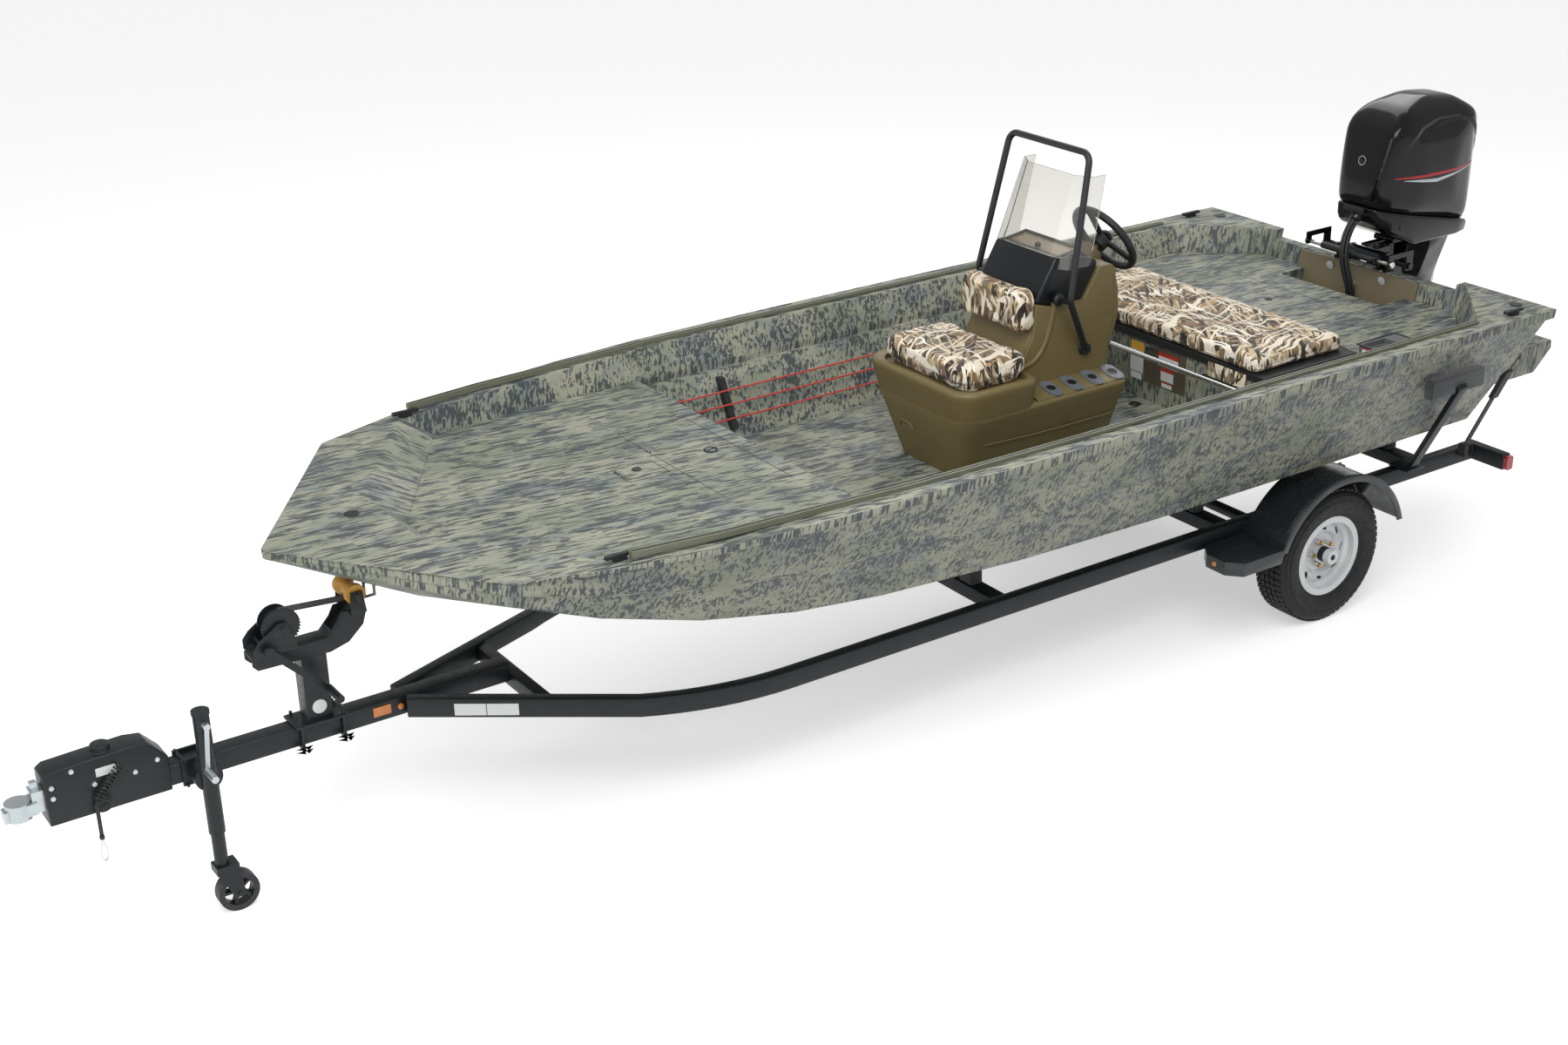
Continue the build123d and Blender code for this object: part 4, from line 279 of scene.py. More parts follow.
def reed_cloth(name):
    """Woven seat cover with layers of printed reeds."""
    tone, size = paint(), sizes()
    made = Finish(name, Sheen_Weight=0.15, Sheen_Roughness=0.5, Specular_IOR_Level=0.2)
    across, along = 1 / size.reed_width, 1 / size.reed_length
    bend = made.grain(5.0, detail=1.0)
    drift = made.mix(1.0, bend, (0.16, 0.2, 0.06), "MULTIPLY")
    curl = made.node("VectorMath", {0: made.place.outputs["Object"], 1: drift}, operation="ADD").outputs[0]
    ground = made.mix(made.grain(22.0, detail=3.0), tuple(tone.reed_dark), shade("6b5b44"))
    # turn in degrees, colour, threshold, width share, shift
    layers = ((12, "6f6a55", 0.50, 1.1, 0.3), (62, "8d7a5c", 0.53, 1.2, 1.9),
              (-38, tone.reed_dark, 0.55, 1.3, 3.3), (95, tone.reed_tan, 0.55, 1.0, 4.2),
              (25, "c2ae8b", 0.575, 0.9, 5.7), (-62, tone.reed_pale, 0.58, 0.9, 6.9),
              (40, "2c2521", 0.585, 1.0, 9.6), (5, "eee7d9", 0.60, 0.7, 8.8),
              (-20, "7d6448", 0.60, 0.9, 12.4), (75, "e4dac6", 0.61, 0.7, 11.2))
    for turn, tint, threshold, width, shift in layers:
        field = made.grain(1.0, (across / width, along, across * 0.25), (0, 0, radians(turn)), 0.6, 0.15,
                           source=curl, shift=(shift, shift * 0.7, shift * 1.3))
        share = made.steps(field, (threshold, 0.0), (threshold + 0.02, 0.95))
        ground = made.mix(share, ground, linear(tint))
    made.base(ground)
    made.rough(0.62, 0.8, 60.0)
    threads = [made.node("TexWave", {"Vector": made.place.outputs["Object"], "Scale": 260.0},
                         bands_direction=direction).outputs[1] for direction in "XY"]
    folds = made.grain(16.0)
    made.relief(made.math(made.math(made.math(*threads), 0.25), folds, "ADD"), 0.35, 0.003)
    return made.material


def clear_sheet(name):
    """Clear folded sheet of the windscreen."""
    made = Finish(name, Transmission_Weight=0.96, IOR=1.3, Specular_IOR_Level=0.4)
    made.base(made.mix(made.grain(3.0), shade("e6e5e0"), shade("dad8d2")))
    made.rough(0.02, 0.06, 5.0)
    return made.material


def brushed(name):
    """Bare metal with fine brush marks along it."""
    made = Finish(name, Metallic=1.0)
    made.base(made.mix(made.grain(60.0, (1, 6, 6)), shade("b9bcbe"), shade("dfe2e4")))
    made.rough(0.18, 0.34, 60.0)
    made.relief(made.grain(500.0, (0.2, 2, 2)), 0.1, 0.0003)
    return made.material


def tyre_wall(name):
    """Matt tyre rubber."""
    made = Finish(name, Specular_IOR_Level=0.4)
    made.base(made.mix(made.grain(30.0, detail=4.0), shade("121314"), shade("1c1d1f")))
    made.rough(0.55, 0.75, 60.0)
    made.relief(made.grain(600.0, detail=2.0), 0.2, 0.0004)
    return made.material


def webbing(name):
    """Woven strap."""
    made = Finish(name, Sheen_Weight=0.2)
    made.base(made.mix(made.grain(80.0), shade("101112"), shade("232426")))
    made.rough(0.7, 0.9)
    wave = made.node("TexWave", {"Vector": made.place.outputs["Object"], "Scale": 180.0},
                     bands_direction="DIAGONAL")
    made.relief(wave.outputs[1], 0.4, 0.0008)
    return made.material


def pile(name):
    """Carpet on the bunks and guide pads."""
    made = Finish(name, Sheen_Weight=0.4, Sheen_Roughness=0.6, Specular_IOR_Level=0.1)
    made.base(made.mix(made.grain(220.0, detail=4.0), shade("191b1d"), shade("34373a")))
    made.rough(0.85, 0.95)
    made.relief(made.grain(700.0, detail=2.0), 0.8, 0.0025)
    return made.material


def gloss_cover(name):
    """Gloss paint of the motor's cover."""
    made = Finish(name, Coat_Weight=0.2, Coat_Roughness=0.03, Specular_IOR_Level=0.25)
    made.base(made.mix(made.grain(90.0, detail=4.0), tuple(paint().cowl), shade("0a0b0c")))
    made.rough(0.12, 0.2, 18.0)
    made.relief(made.grain(900.0), 0.03, 0.0002)
    return made.material


def lamp_lens(tint):
    """Maker of a ribbed lens in one colour."""
    def make(name):
        made = Finish(name, Coat_Weight=0.6, Coat_Roughness=0.05)
        made.base(made.mix(made.grain(50.0), linear(tint), tuple(c * 0.6 for c in linear(tint))))
        made.rough(0.1, 0.2)
        cells = made.node("TexVoronoi", {"Vector": made.place.outputs["Object"], "Scale": 160.0})
        made.relief(cells.outputs[0], 0.3, 0.001)
        return made.material
    return make


def finishes():
    """Makers of every finish by name."""
    tone = paint()
    return {
        "hull_print": hull_print,
        "reed_cloth": reed_cloth,
        "clear_sheet": clear_sheet,
        "bright_metal": brushed,
        "tyre_rubber": tyre_wall,
        "webbing": webbing,
        "carpet_pile": pile,
        "gloss_cover": gloss_cover,
        "red_lens": lamp_lens("b3131a"),
        "amber_lens": lamp_lens(tone.amber),
        "track_metal": coated("70725f", "5d6051", 0.35, 0.5, 40.0),
        "black_moulding": coated("141516", "1f2123", 0.42, 0.6, 60.0, 0.0005, 0.3),
        "console_moulding": coated(tone.console, 0.84, 0.38, 0.52, 35.0, 0.0006, 0.35,
                                   Specular_IOR_Level=0.4),
        "console_tray": coated("98896a", "82755a", 0.4, 0.55, 35.0, 0.0006, 0.3),
        "pod_moulding": coated("0f1113", "15181b", 0.28, 0.4, 40.0, 0.0003, 0.12,
                               Specular_IOR_Level=0.35),
        "grey_moulding": coated("666b70", "575c61", 0.4, 0.55, 50.0, 0.0004, 0.25),
        "transom_paint": coated(tone.transom, 0.82, 0.45, 0.6, 20.0, 0.0004, 0.2),
        "panel_paint": coated("5b5346", "4a4439", 0.5, 0.65, 20.0),
        "rail_paint": coated("16181a", "202326", 0.4, 0.52, 60.0, 0.0003, 0.25),
        "frame_paint": coated(tone.trailer, 1.35, 0.36, 0.5, 45.0, 0.0004, 0.25,
                              Specular_IOR_Level=0.35),
        # Mudguards' dark coat, lighter than the frame's: partly painted highlight
        "guard_paint": coated("1f2426", "2b3134", 0.2, 0.32, 25.0, 0.0003, 0.1),
        "leg_paint": coated("090a0b", "0f1113", 0.16, 0.26, 25.0, 0.0002, 0.05, Coat_Weight=0.2,
                            Specular_IOR_Level=0.35),
        "hose_rubber": coated("101112", "1b1c1e", 0.4, 0.55, 80.0, 0.0004, 0.2),
        "silver_paint": coated("c9cccd", "d8dadb", 0.3, 0.42, 60.0, 0.0003, 0.15, Metallic=0.15),
        "zinc_plate": coated("a3acb0", "c6ccce", 0.26, 0.42, 25.0, 0.0004, 0.2, Metallic=0.9),
        "red_line": coated("a92a28", "c2453c", 0.55, 0.7, 90.0),
        "roller_rubber": coated(tone.roller, 0.8, 0.35, 0.5, 40.0, 0.0004, 0.2,
                                Subsurface_Weight=0.05),
        "label_white": coated("dcdedd", "cfd1d0", 0.35, 0.45, 30.0),
        "label_yellow": coated("d9a43a", "cf9930", 0.35, 0.45, 30.0),
        "label_red": coated("b93227", "aa2c22", 0.35, 0.45, 30.0),
        "stripe_red": coated(tone.stripe, 0.85, 0.15, 0.22, 30.0),
        "stripe_silver": coated("c9ccd0", "9fa4aa", 0.15, 0.25, 30.0, Metallic=0.4),
        # Near-black for black parts, and painted shade in slots, seams, gaps and holes
        "slot_black": coated("040404", "070707", 0.5, 0.7, 30.0),
        "brass_tip": coated("a9853c", "c19a48", 0.25, 0.35, 30.0, Metallic=1.0),
    }


FINISHES = {}


def finish(name):
    """The material of that name, made when it is first asked for."""
    if name not in FINISHES:
        FINISHES[name] = finishes()[name](name)
    return FINISHES[name]


# Mesh helpers

def piece(name, mesh, finish_name, body, replaces=(), smooth=38.0):
    """Links a mesh as a piece that rides on a body."""
    made = bpy.data.objects.new(name, mesh)
    bpy.context.scene.collection.objects.link(made)
    if finish_name and not mesh.materials:
        mesh.materials.append(finish(finish_name))
    if smooth:
        mesh.shade_smooth()
        mesh.set_sharp_from_angle(angle=radians(smooth))
    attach(made, body)
    if replaces:
        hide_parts(*replaces)
    return made


def mesh_from(name, points, faces):
    """Mesh with its faces turned outwards."""
    mesh = bpy.data.meshes.new(name)
    mesh.from_pydata([tuple(p) for p in points], [], faces)
    mesh.validate()
    made = bmesh.new()
    made.from_mesh(mesh)
    bmesh.ops.recalc_face_normals(made, faces=made.faces)
    made.to_mesh(mesh)
    made.free()
    return mesh


def skin(rings, cap=True, loop=False):
    """Points and faces of a skin over closed rings with equal counts.

    loop joins the last ring to the first, and cap closes both ends.
    """
    count = len(rings[0])
    points = [p for ring in rings for p in ring]
    faces = []
    rows = len(rings) if loop else len(rings) - 1
    for row in range(rows):
        nxt = (row + 1) % len(rings)
        for i in range(count):
            j = (i + 1) % count
            faces.append((row * count + i, row * count + j, nxt * count + j, nxt * count + i))
    if cap and not loop:
        faces.append(tuple(reversed(range(count))))
        faces.append(tuple((len(rings) - 1) * count + i for i in range(count)))
    return points, faces


class Mould:
    """Gathers several closed forms into one mesh."""

    def __init__(self):
        self.points, self.faces, self.marks = [], [], []

    def add(self, form, mark=0):
        points, faces = form
        start = len(self.points)
        self.points += [Vector(p) for p in points]
        self.faces += [tuple(start + i for i in face) for face in faces]
        self.marks += [mark] * len(faces)
        return self

    def mesh(self, name, finish_names=()):
        """One mesh of all forms; each form's mark is the number of its finish."""
        mesh = mesh_from(name, self.points, self.faces)
        for finish_name in finish_names:
            mesh.materials.append(finish(finish_name))
        if finish_names and len(mesh.polygons) == len(self.marks):
            mesh.polygons.foreach_set("material_index", self.marks)
        return mesh


def frame_of(normal, up=(0, 0, 1)):
    """Two directions square to a normal."""
    normal = Vector(normal).normalized()
    side = Vector(up).cross(normal)
    if side.length < 1e-4:
        side = Vector((1, 0, 0)).cross(normal)
    side.normalize()
    return side, normal.cross(side).normalized()


LEAST_RADIUS = 0.05


def lathe(profile, centre, axis, steps=48, hollow=False):
    """Form turned about an axis from rows of radius and distance along it, in millimetres.

    A hollow one closes on itself.
    """
    side, up = frame_of(axis)
    axis, centre = Vector(axis).normalized(), Vector(centre)
    spokes = [side * cos(2 * pi * k / steps) + up * sin(2 * pi * k / steps) for k in range(steps)]
    rings = []
    for radius, along in profile:
        rings.append([centre + axis * along / 1000 + spoke * max(radius, LEAST_RADIUS) / 1000
                      for spoke in spokes])
    return skin(rings, loop=hollow)


def tube(points, radius, sides=12, closed=False):
    """Round tube along points, in metres."""
    points = [Vector(p) for p in points]
    rings = []
    normal = None
    for i, point in enumerate(points):
        if closed:
            ahead = points[(i + 1) % len(points)] - points[i - 1]
        else:
            ahead = points[min(i + 1, len(points) - 1)] - points[max(i - 1, 0)]
        ahead.normalize()
        if normal is None:
            normal, _ = frame_of(ahead)
        normal = (normal - ahead * normal.dot(ahead)).normalized()
        other = ahead.cross(normal)
        rings.append([point + (normal * cos(2 * pi * k / sides) + other * sin(2 * pi * k / sides)) * radius
                      for k in range(sides)])
    return skin(rings, loop=closed)


def soft_box(low, high, radius, segments=3, turn=None):
    """Box with rounded edges between two corners, in metres."""
    low, high = Vector(low), Vector(high)
    low, high = Vector(map(min, low, high)), Vector(map(max, low, high))
    made = bmesh.new()
    bmesh.ops.create_cube(made, size=1.0)
    span = high - low
    for v in made.verts:
        v.co = Vector(c * s for c, s in zip(v.co, span))
    reach = min(radius, min(span) * 0.49)
    bmesh.ops.bevel(made, geom=made.edges[:], offset=reach, segments=segments, profile=0.5, affect="EDGES")
    centre = (low + high) / 2
    for v in made.verts:
        v.co = (turn @ v.co if turn else v.co) + centre
    points = [v.co.copy() for v in made.verts]
    faces = [tuple(v.index for v in f.verts) for f in made.faces]
    made.free()
    return points, faces


def round_ring(front, aft, half, corner_front, corner_aft, z, steps=7):
    """Ring of a moulded section with rounded corners, in millimetres."""
    ring = []
    for s, y, corner, start in ((front, half, corner_front, 90), (aft, half, corner_aft, 0),
                                (aft, -half, corner_aft, -90), (front, -half, corner_front, -180)):
        cs = s + corner if s == front else s - corner
        cy = y - corner if y > 0 else y + corner
        for k in range(steps):
            angle = radians(start + 90 - 90 * k / (steps - 1))
            ring.append(at(cs + corner * cos(angle), cy + corner * sin(angle), z))
    return ring


def copy_mesh(node, finish_name):
    """Welded copy of a node's mesh with its flat facets joined."""
    mesh = frame["nodes"][node].data.copy()
    mesh.materials.clear()
    mesh.materials.append(finish(finish_name))
    made = bmesh.new()
    made.from_mesh(mesh)
    bmesh.ops.remove_doubles(made, verts=made.verts, dist=2e-5)
    bmesh.ops.dissolve_limit(made, angle_limit=radians(0.6), verts=made.verts, edges=made.edges)
    for face in made.faces:
        face.material_index = 0
    made.to_mesh(mesh)
    made.free()
    return mesh


def baked(made):
    """Mesh of an object with its modifiers applied."""
    graph = bpy.context.evaluated_depsgraph_get()
    return bpy.data.meshes.new_from_object(made.evaluated_get(graph), depsgraph=graph)


def through(mesh, *modifiers):
    """Mesh after modifiers, each given as its type and settings."""
    helper = bpy.data.objects.new("helper", mesh)
    bpy.context.scene.collection.objects.link(helper)
    for kind, settings in modifiers:
        modifier = helper.modifiers.new(kind.lower(), kind)
        for key, value in settings.items():
            setattr(modifier, key, value)
    made = baked(helper)
    bpy.data.objects.remove(helper)
    return made


def rounding(width, segments, angle):
    """Bevel of the edges that are sharper than an angle in degrees."""
    return "BEVEL", {"width": width, "segments": segments, "limit_method": "ANGLE",
                     "angle_limit": radians(angle), "use_clamp_overlap": False}


def voxels(size):
    """Even remesh with cells of a size in metres."""
    return "REMESH", {"mode": "VOXEL", "voxel_size": size, "use_smooth_shade": True}


def softened(name, node, finish_name, width, segments=2, angle=30.0, smooth=36.0):
    """The node's own form with its edges rounded."""
    mesh = copy_mesh(node, finish_name)
    if width:
        mesh = through(mesh, rounding(width, segments, angle))
    body = frame["nodes"][node]["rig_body"]
    return piece(name, mesh, finish_name, body, (node,), smooth)


def melted(node, finish_name, voxel, passes):
    """Mesh of the node's own form with its corners flowed together."""
    return through(copy_mesh(node, finish_name), voxels(voxel),
                   ("SMOOTH", {"factor": 0.5, "iterations": passes}))


def search_tree(mesh):
    """Tree that finds places on a mesh."""
    return BVHTree.FromPolygons([v.co for v in mesh.vertices], [tuple(p.vertices) for p in mesh.polygons])


def dress(finish_name, *nodes):
    """Gives carried-over nodes their finish."""
    for node in nodes:
        for slot in frame["nodes"][node].material_slots:
            slot.link = "OBJECT"
            slot.material = finish(finish_name)


def route_points(points, count=90):
    """Points along the smooth line of a route."""
    curve = bpy.data.curves.new("route", "CURVE")
    curve.dimensions = "3D"
    spline = curve.splines.new("NURBS")
    spline.points.add(len(points) - 1)
    for target, place in zip(spline.points, points):
        target.co = (*place, 1.0)
    spline.order_u = 3
    spline.use_endpoint_u = True
    curve.resolution_u = max(4, count // len(points))
    helper = bpy.data.objects.new("route", curve)
    bpy.context.scene.collection.objects.link(helper)
    line = [v.co.copy() for v in baked(helper).vertices]
    bpy.data.objects.remove(helper)
    return line


# Stage

CAMERA_PLACE = Vector((4.878, 6.654, 4.325))
CAMERA_TURN = Vector((0.7203, 2.2869, -1.5064))
CAMERA_LENS, SENSOR_WIDTH = 49.31, 36.0
CAMERA_SHIFT = (-0.00682, -0.00382)

FLOOR_REACH = 60
FLOOR_GLOW = 0.47
WORLD_FILL = 0.54

# Place, aim, size, power
LAMPS = (
    ((2.5, 3.5, 6.5), (0.2, 0.0, 0.9), 5.0, 380.0),
    ((-4.5, -3.0, 6.0), (-1.0, 0.0, 1.0), 4.5, 170.0),
    ((6.5, 0.5, 3.2), (1.0, 0.0, 0.8), 3.0, 70.0),
)


def stage_camera():
    """Camera that looks as the photo's does; its turn is an axis times an angle."""
    data = bpy.data.cameras.new("camera")
    data.lens, data.sensor_width = CAMERA_LENS, SENSOR_WIDTH
    data.shift_x, data.shift_y = CAMERA_SHIFT
    data.clip_end = 100.0
    made = bpy.data.objects.new("camera", data)
    bpy.context.scene.collection.objects.link(made)
    turn = Quaternion(CAMERA_TURN.normalized(), CAMERA_TURN.length).to_matrix().transposed()
    turn = turn @ Matrix.Diagonal((1, -1, -1))
    made.matrix_world = Matrix.Translation(CAMERA_PLACE) @ turn.to_4x4()
    bpy.context.scene.camera = made


def stage_floor():
    """Pale floor that looks white to the camera and keeps the shadow."""
    corners = [(x * FLOOR_REACH, y * FLOOR_REACH, 0) for x, y in ((-1, -1), (1, -1), (1, 1), (-1, 1))]
    mesh = mesh_from("floor", corners, [(0, 1, 2, 3)])
    made = bpy.data.objects.new("floor", mesh)
    bpy.context.scene.collection.objects.link(made)
    floor = Finish("pale_floor", Base_Color=(0.80, 0.80, 0.80), Roughness=0.9, Specular_IOR_Level=0.1)
    rays = floor.node("LightPath").outputs
    seen = floor.math(floor.math(rays["Is Camera Ray"], rays["Is Glossy Ray"], "MAXIMUM"),
                      rays["Is Transmission Ray"], "MAXIMUM")
    floor.feed(floor.shader.inputs["Emission Color"], (1.0, 1.0, 1.0))
    floor.feed(floor.shader.inputs["Emission Strength"], floor.math(seen, FLOOR_GLOW))
    mesh.materials.append(floor.material)


def stage_lights():
    """White world seen by the camera, a plain fill and three soft lamps."""
    world = bpy.data.worlds.new("studio")
    bpy.context.scene.world = world
    world.use_nodes = True
    nodes, links = world.node_tree.nodes, world.node_tree.links
    background = nodes["Background"]
    background.inputs["Color"].default_value = (1.0, 1.0, 1.0, 1.0)
    rays = nodes.new("ShaderNodeLightPath")
    seen = nodes.new("ShaderNodeMath")
    seen.operation = "MAXIMUM"
    links.new(rays.outputs["Is Camera Ray"], seen.inputs[0])
    links.new(rays.outputs["Is Transmission Ray"], seen.inputs[1])
    level = nodes.new("ShaderNodeMapRange")
    level.inputs["To Min"].default_value = WORLD_FILL
    level.inputs["To Max"].default_value = 1.0
    links.new(seen.outputs[0], level.inputs["Value"])
    links.new(level.outputs[0], background.inputs["Strength"])
    for index, (place, aim, size, power) in enumerate(LAMPS):
        data = bpy.data.lights.new("softbox%d" % index, "AREA")
        data.shape, data.size, data.energy = "SQUARE", size, power
        made = bpy.data.objects.new(data.name, data)
        bpy.context.scene.collection.objects.link(made)
        made.matrix_world = (Matrix.Translation(Vector(place))
                             @ (Vector(place) - Vector(aim)).to_track_quat("Z", "Y").to_matrix().to_4x4())
    bpy.context.scene.view_settings.view_transform = "Standard"


# Rigging hose

HOSE_ROUTE = ((5418, 0, 1516), (5382, 0, 1470), (5352, 12, 1408), (5340, 30, 1335), (5348, 52, 1262),
              (5360, 70, 1190), (5362, 78, 1118), (5362, 80, 1058), (5362, 80, 1022))
STRANDS, STRAND_LAY, STRAND_TURN = 6, 2.03, 1.4


def make_hose():
    """Bundle of strands laid round a middle one, with two ties."""
    line = route_points([at(*p) for p in HOSE_ROUTE], 80)
    radius = sizes().strand
    bundle = Mould()
    normal, _ = frame_of(line[1] - line[0])
    frames = []
    for i, point in enumerate(line):
        ahead = (line[min(i + 1, len(line) - 1)] - line[max(i - 1, 0)]).normalized()
        normal = (normal - ahead * normal.dot(ahead)).normalized()
        frames.append((point, normal.copy(), ahead.cross(normal)))
    bundle.add(tube(line, radius, 10))
    for strand in range(STRANDS):
        turned = []
        for i, (point, first, second) in enumerate(frames):
            angle = 2 * pi * strand / STRANDS + STRAND_TURN * i / len(frames)
            turned.append(point + (first * cos(angle) + second * sin(angle)) * radius * STRAND_LAY)
        bundle.add(tube(turned, radius, 10))
    mesh = bundle.mesh("rigging_bundle")
    made = piece("rigging_bundle", mesh, "hose_rubber", ROOT, ("rigging_hose",), 50)
    ties = Mould()
    for share in (0.3, 0.62):
        point, first, second = frames[int(share * len(frames))]
        ahead = first.cross(second)
        ties.add(lathe([(22.5, -3), (24.0, -3), (24.0, 3), (22.5, 3)], point, ahead, 24, True))
    band = piece("hose_ties", ties.mesh("hose_ties"), "black_moulding", ROOT)


# Hull and decks

def make_hull():
    """Hull with softened edges, and the finishes of what it carries."""
    softened("hull_shell", "hull", "hull_print", 0.003, 2, 25.0, 30.0)
    dress("hull_print", "bow_deck", "bow_hatch", "bow_small_hatch", "cockpit_floor", "rear_bench",
          "rear_deck", "rear_hatch")
    dress("black_moulding", "bench_lid", "rod_rack", "cleats")
    dress("track_metal", "gunwale_tracks")
    dress("transom_paint", "transom_plate")
    dress("bright_metal", "cross_bar")
    dress("red_line", "rod_lines")


def disc(station, y, z, radius, height):
    """Low round cap with a rounded edge."""
    return lathe([(0.1, -1), (radius, -1), (radius, height * 0.5), (radius * 0.93, height),
                  (0.1, height * 1.05)], at(station, y, z), (0, 0, 1), 28)


# Front, aft, starboard and port edges of the lids
LIDS = ((1637, 1948, -386, 386), (1426, 1598, -72.5, 72.5), (4792, 5118, -418, 128))
SEAM = 2.6

# Latches: name, body, station, y, radius
LATCHES = (
    ("bow_latch", "bow_hatch", 1845, -22, 30),
    ("small_latch", "bow_small_hatch", 1507, -22, 18),
    ("rear_latch", "rear_hatch", 4950, -62, 18),
)

# Station and y of the gunwale track's slot
TRACK_ROWS = ((960, 868), (1300, 912), (1700, 934), (2100, 962), (2800, 968), (5130, 968))
TRACK_LOW, TRACK_TOP = 1339.2, 1340.6


def make_lid_seam_shade():
    """Dark lines round the lids, in the deck's plane: painted shade of the gaps."""
    seam_shade = Mould()
    for s0, s1, y0, y1 in LIDS:
        for low, high in (((s0 - SEAM, y0 - SEAM), (s0, y1 + SEAM)),
                          ((s1, y0 - SEAM), (s1 + SEAM, y1 + SEAM)),
                          ((s0, y0 - SEAM), (s1, y0)), ((s0, y1), (s1, y1 + SEAM))):
            seam_shade.add(soft_box(at(*low, DECK_Z - 2), at(*high, DECK_Z + 0.5), 0.0002, 1))
    piece("lid_seam_shade", seam_shade.mesh("lid_seam_shade"), "slot_black", ROOT, (), 30)


def make_deck_fittings():
    """Caps, latches, the drain and painted shade in the tracks' slots."""
    caps = Mould()
    shell = search_tree(frame["nodes"]["hull"].data)
    for station, y in ((372, -88), (5468, -915), (5468, 915)):
        spot = shell.ray_cast(at(station, y, 1700), Vector((0, 0, -1)))
        caps.add(lathe([(0.1, -2), (27, -2), (27, 2), (25, 4), (0.1, 4.4)], spot[0], spot[1], 32))
    piece("gunwale_caps", caps.mesh("gunwale_caps"), "black_moulding", ROOT)
    for name, body, station, y, radius in LATCHES:
        ring, half = Mould(), radius * 0.5
        ring.add(lathe([(radius * 0.6, 0), (radius, 0), (radius, 3), (radius * 0.9, 4.5),
                        (radius * 0.72, 4.5), (radius * 0.6, 2)],
                       at(station, y, DECK_Z), (0, 0, 1), 32, True))
        ring.add(disc(station, y, DECK_Z, radius * 0.62, 2.5), 1)
        ring.add(soft_box(at(station - half, y - 3, DECK_Z + 1),
                          at(station + half, y + 3, DECK_Z + 5), 0.001))
        piece(name, ring.mesh(name, ("black_moulding", "zinc_plate")), None, body)
    drain = Mould().add(lathe([(14, 0), (28, 0), (28, 2.5), (24, 3.5), (14, 3.5)],
                              at(4074, 0, FLOOR_Z), (0, 0, 1), 28, True))
    piece("floor_drain", drain.mesh("floor_drain"), "black_moulding", ROOT)
    # Dark strips in the tracks' slots: painted shade of the recess
    slot_shade_strips = Mould()
    for sign in (-1, 1):
        for (s0, y0), (s1, y1) in zip(TRACK_ROWS, TRACK_ROWS[1:]):
            corners = [(s0 + 4, y0 + 9), (s1, y1 + 9), (s1, y1 + 17), (s0 + 4, y0 + 17)]
            slot_shade_strips.add(skin([[at(s, sign * y, z) for s, y in corners] for z in (TRACK_LOW, TRACK_TOP)]))
    piece("track_slot_shade", slot_shade_strips.mesh("track_slot_shade"), "slot_black", ROOT)


# Seats

def pad_form(node, inset, voxel):
    """Slightly smaller welded copy of a pad, meshed evenly."""
    low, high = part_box(node)
    centre, span = (low + high) / 2, high - low
    mesh = frame["nodes"][node].data.copy()
    for v in mesh.vertices:
        v.co = Vector(c + (x - c) * (1 - 2 * inset / s) for x, c, s in zip(v.co, centre, span))
    mesh.materials.clear()
    return through(mesh, voxels(voxel))


SEAT_SPREAD = 0.022                 # how far the seat's pad leans out over its box
SEAT_LIP = (1.312, 1.335)           # heights between which it starts to
PAD_INSET = 0.004                   # from the solid to the form that the cloth starts from
PAD_UNDER, PAD_OVER = 0.006, 0.009  # how far a cover may pass its solid's box
BACK_LIFT = 0.0006                  # from a pad's back to what carries it
BACK_NEAR, BACK_REACH = 0.004, 0.012    # what lies this near the back is laid flat on it
CREASES = ((14.0, 0.0022), (40.0, 0.0008))  # scale and height of the cover's creases
CLOTH_STEPS, CLOTH_PRESSURE = 20, 4.0

# Pads: name, node, body, voxel, cap, axis that faces out, sign, place of the welt
PADS = (
    ("seat_pad", "seat_cushion", ROOT, 0.009, 0.022, 2, 1, 0.3),
    ("back_pad", "backrest_cushion", ROOT, 0.008, 0.016, 0, 1, 0.35),
    ("bench_pad", "bench_cushion", "bench_seat", 0.013, 0.018, 2, 1, 0.3),
)


def swell(forms):
    """Runs the pads' cloth together and returns their swollen points."""
    scene = bpy.context.scene
    made = []
    for name, mesh in forms:
        pad = bpy.data.objects.new(name + "_form", mesh)
        scene.collection.objects.link(pad)
        cloth = pad.modifiers.new("swell", "CLOTH")
        cloth.settings.quality = 4
        cloth.settings.use_pressure = True
        cloth.settings.uniform_pressure_force = CLOTH_PRESSURE
        cloth.settings.effector_weights.gravity = 0.0
        cloth.point_cache.frame_start, cloth.point_cache.frame_end = 1, CLOTH_STEPS
        made.append(pad)
    for step in range(1, CLOTH_STEPS + 1):
        scene.frame_set(step)
    graph = bpy.context.evaluated_depsgraph_get()
    results = []
    for pad in made:
        shape = pad.evaluated_get(graph).to_mesh()
        results.append([v.co.copy() for v in shape.vertices])
        pad.evaluated_get(graph).to_mesh_clear()
    for pad in made:
        bpy.data.objects.remove(pad)
    scene.frame_set(1)
    return results


# y low, y high, z low, z high
PANEL_PARTS = ((15, 232, 985, 1088), (192, 232, 1088, 1168), (15, 192, 1151, 1168), (-31, 15, 985, 1088))
PANEL_THICK = 1.5

# y low, y high, z low, z high, finish of the upper band
LABELS = ((-120, -36, 1020, 1160, 1), (60, 185, 1088, 1150, 2), (78, 158, 1022, 1082, 2),
          (-112, -44, 985, 1016, 0), (86, 150, 992, 1018, 2))
LABEL_BACK, LABEL_FRONT, LABEL_FIELD = 1.6, 3.2, 0.72


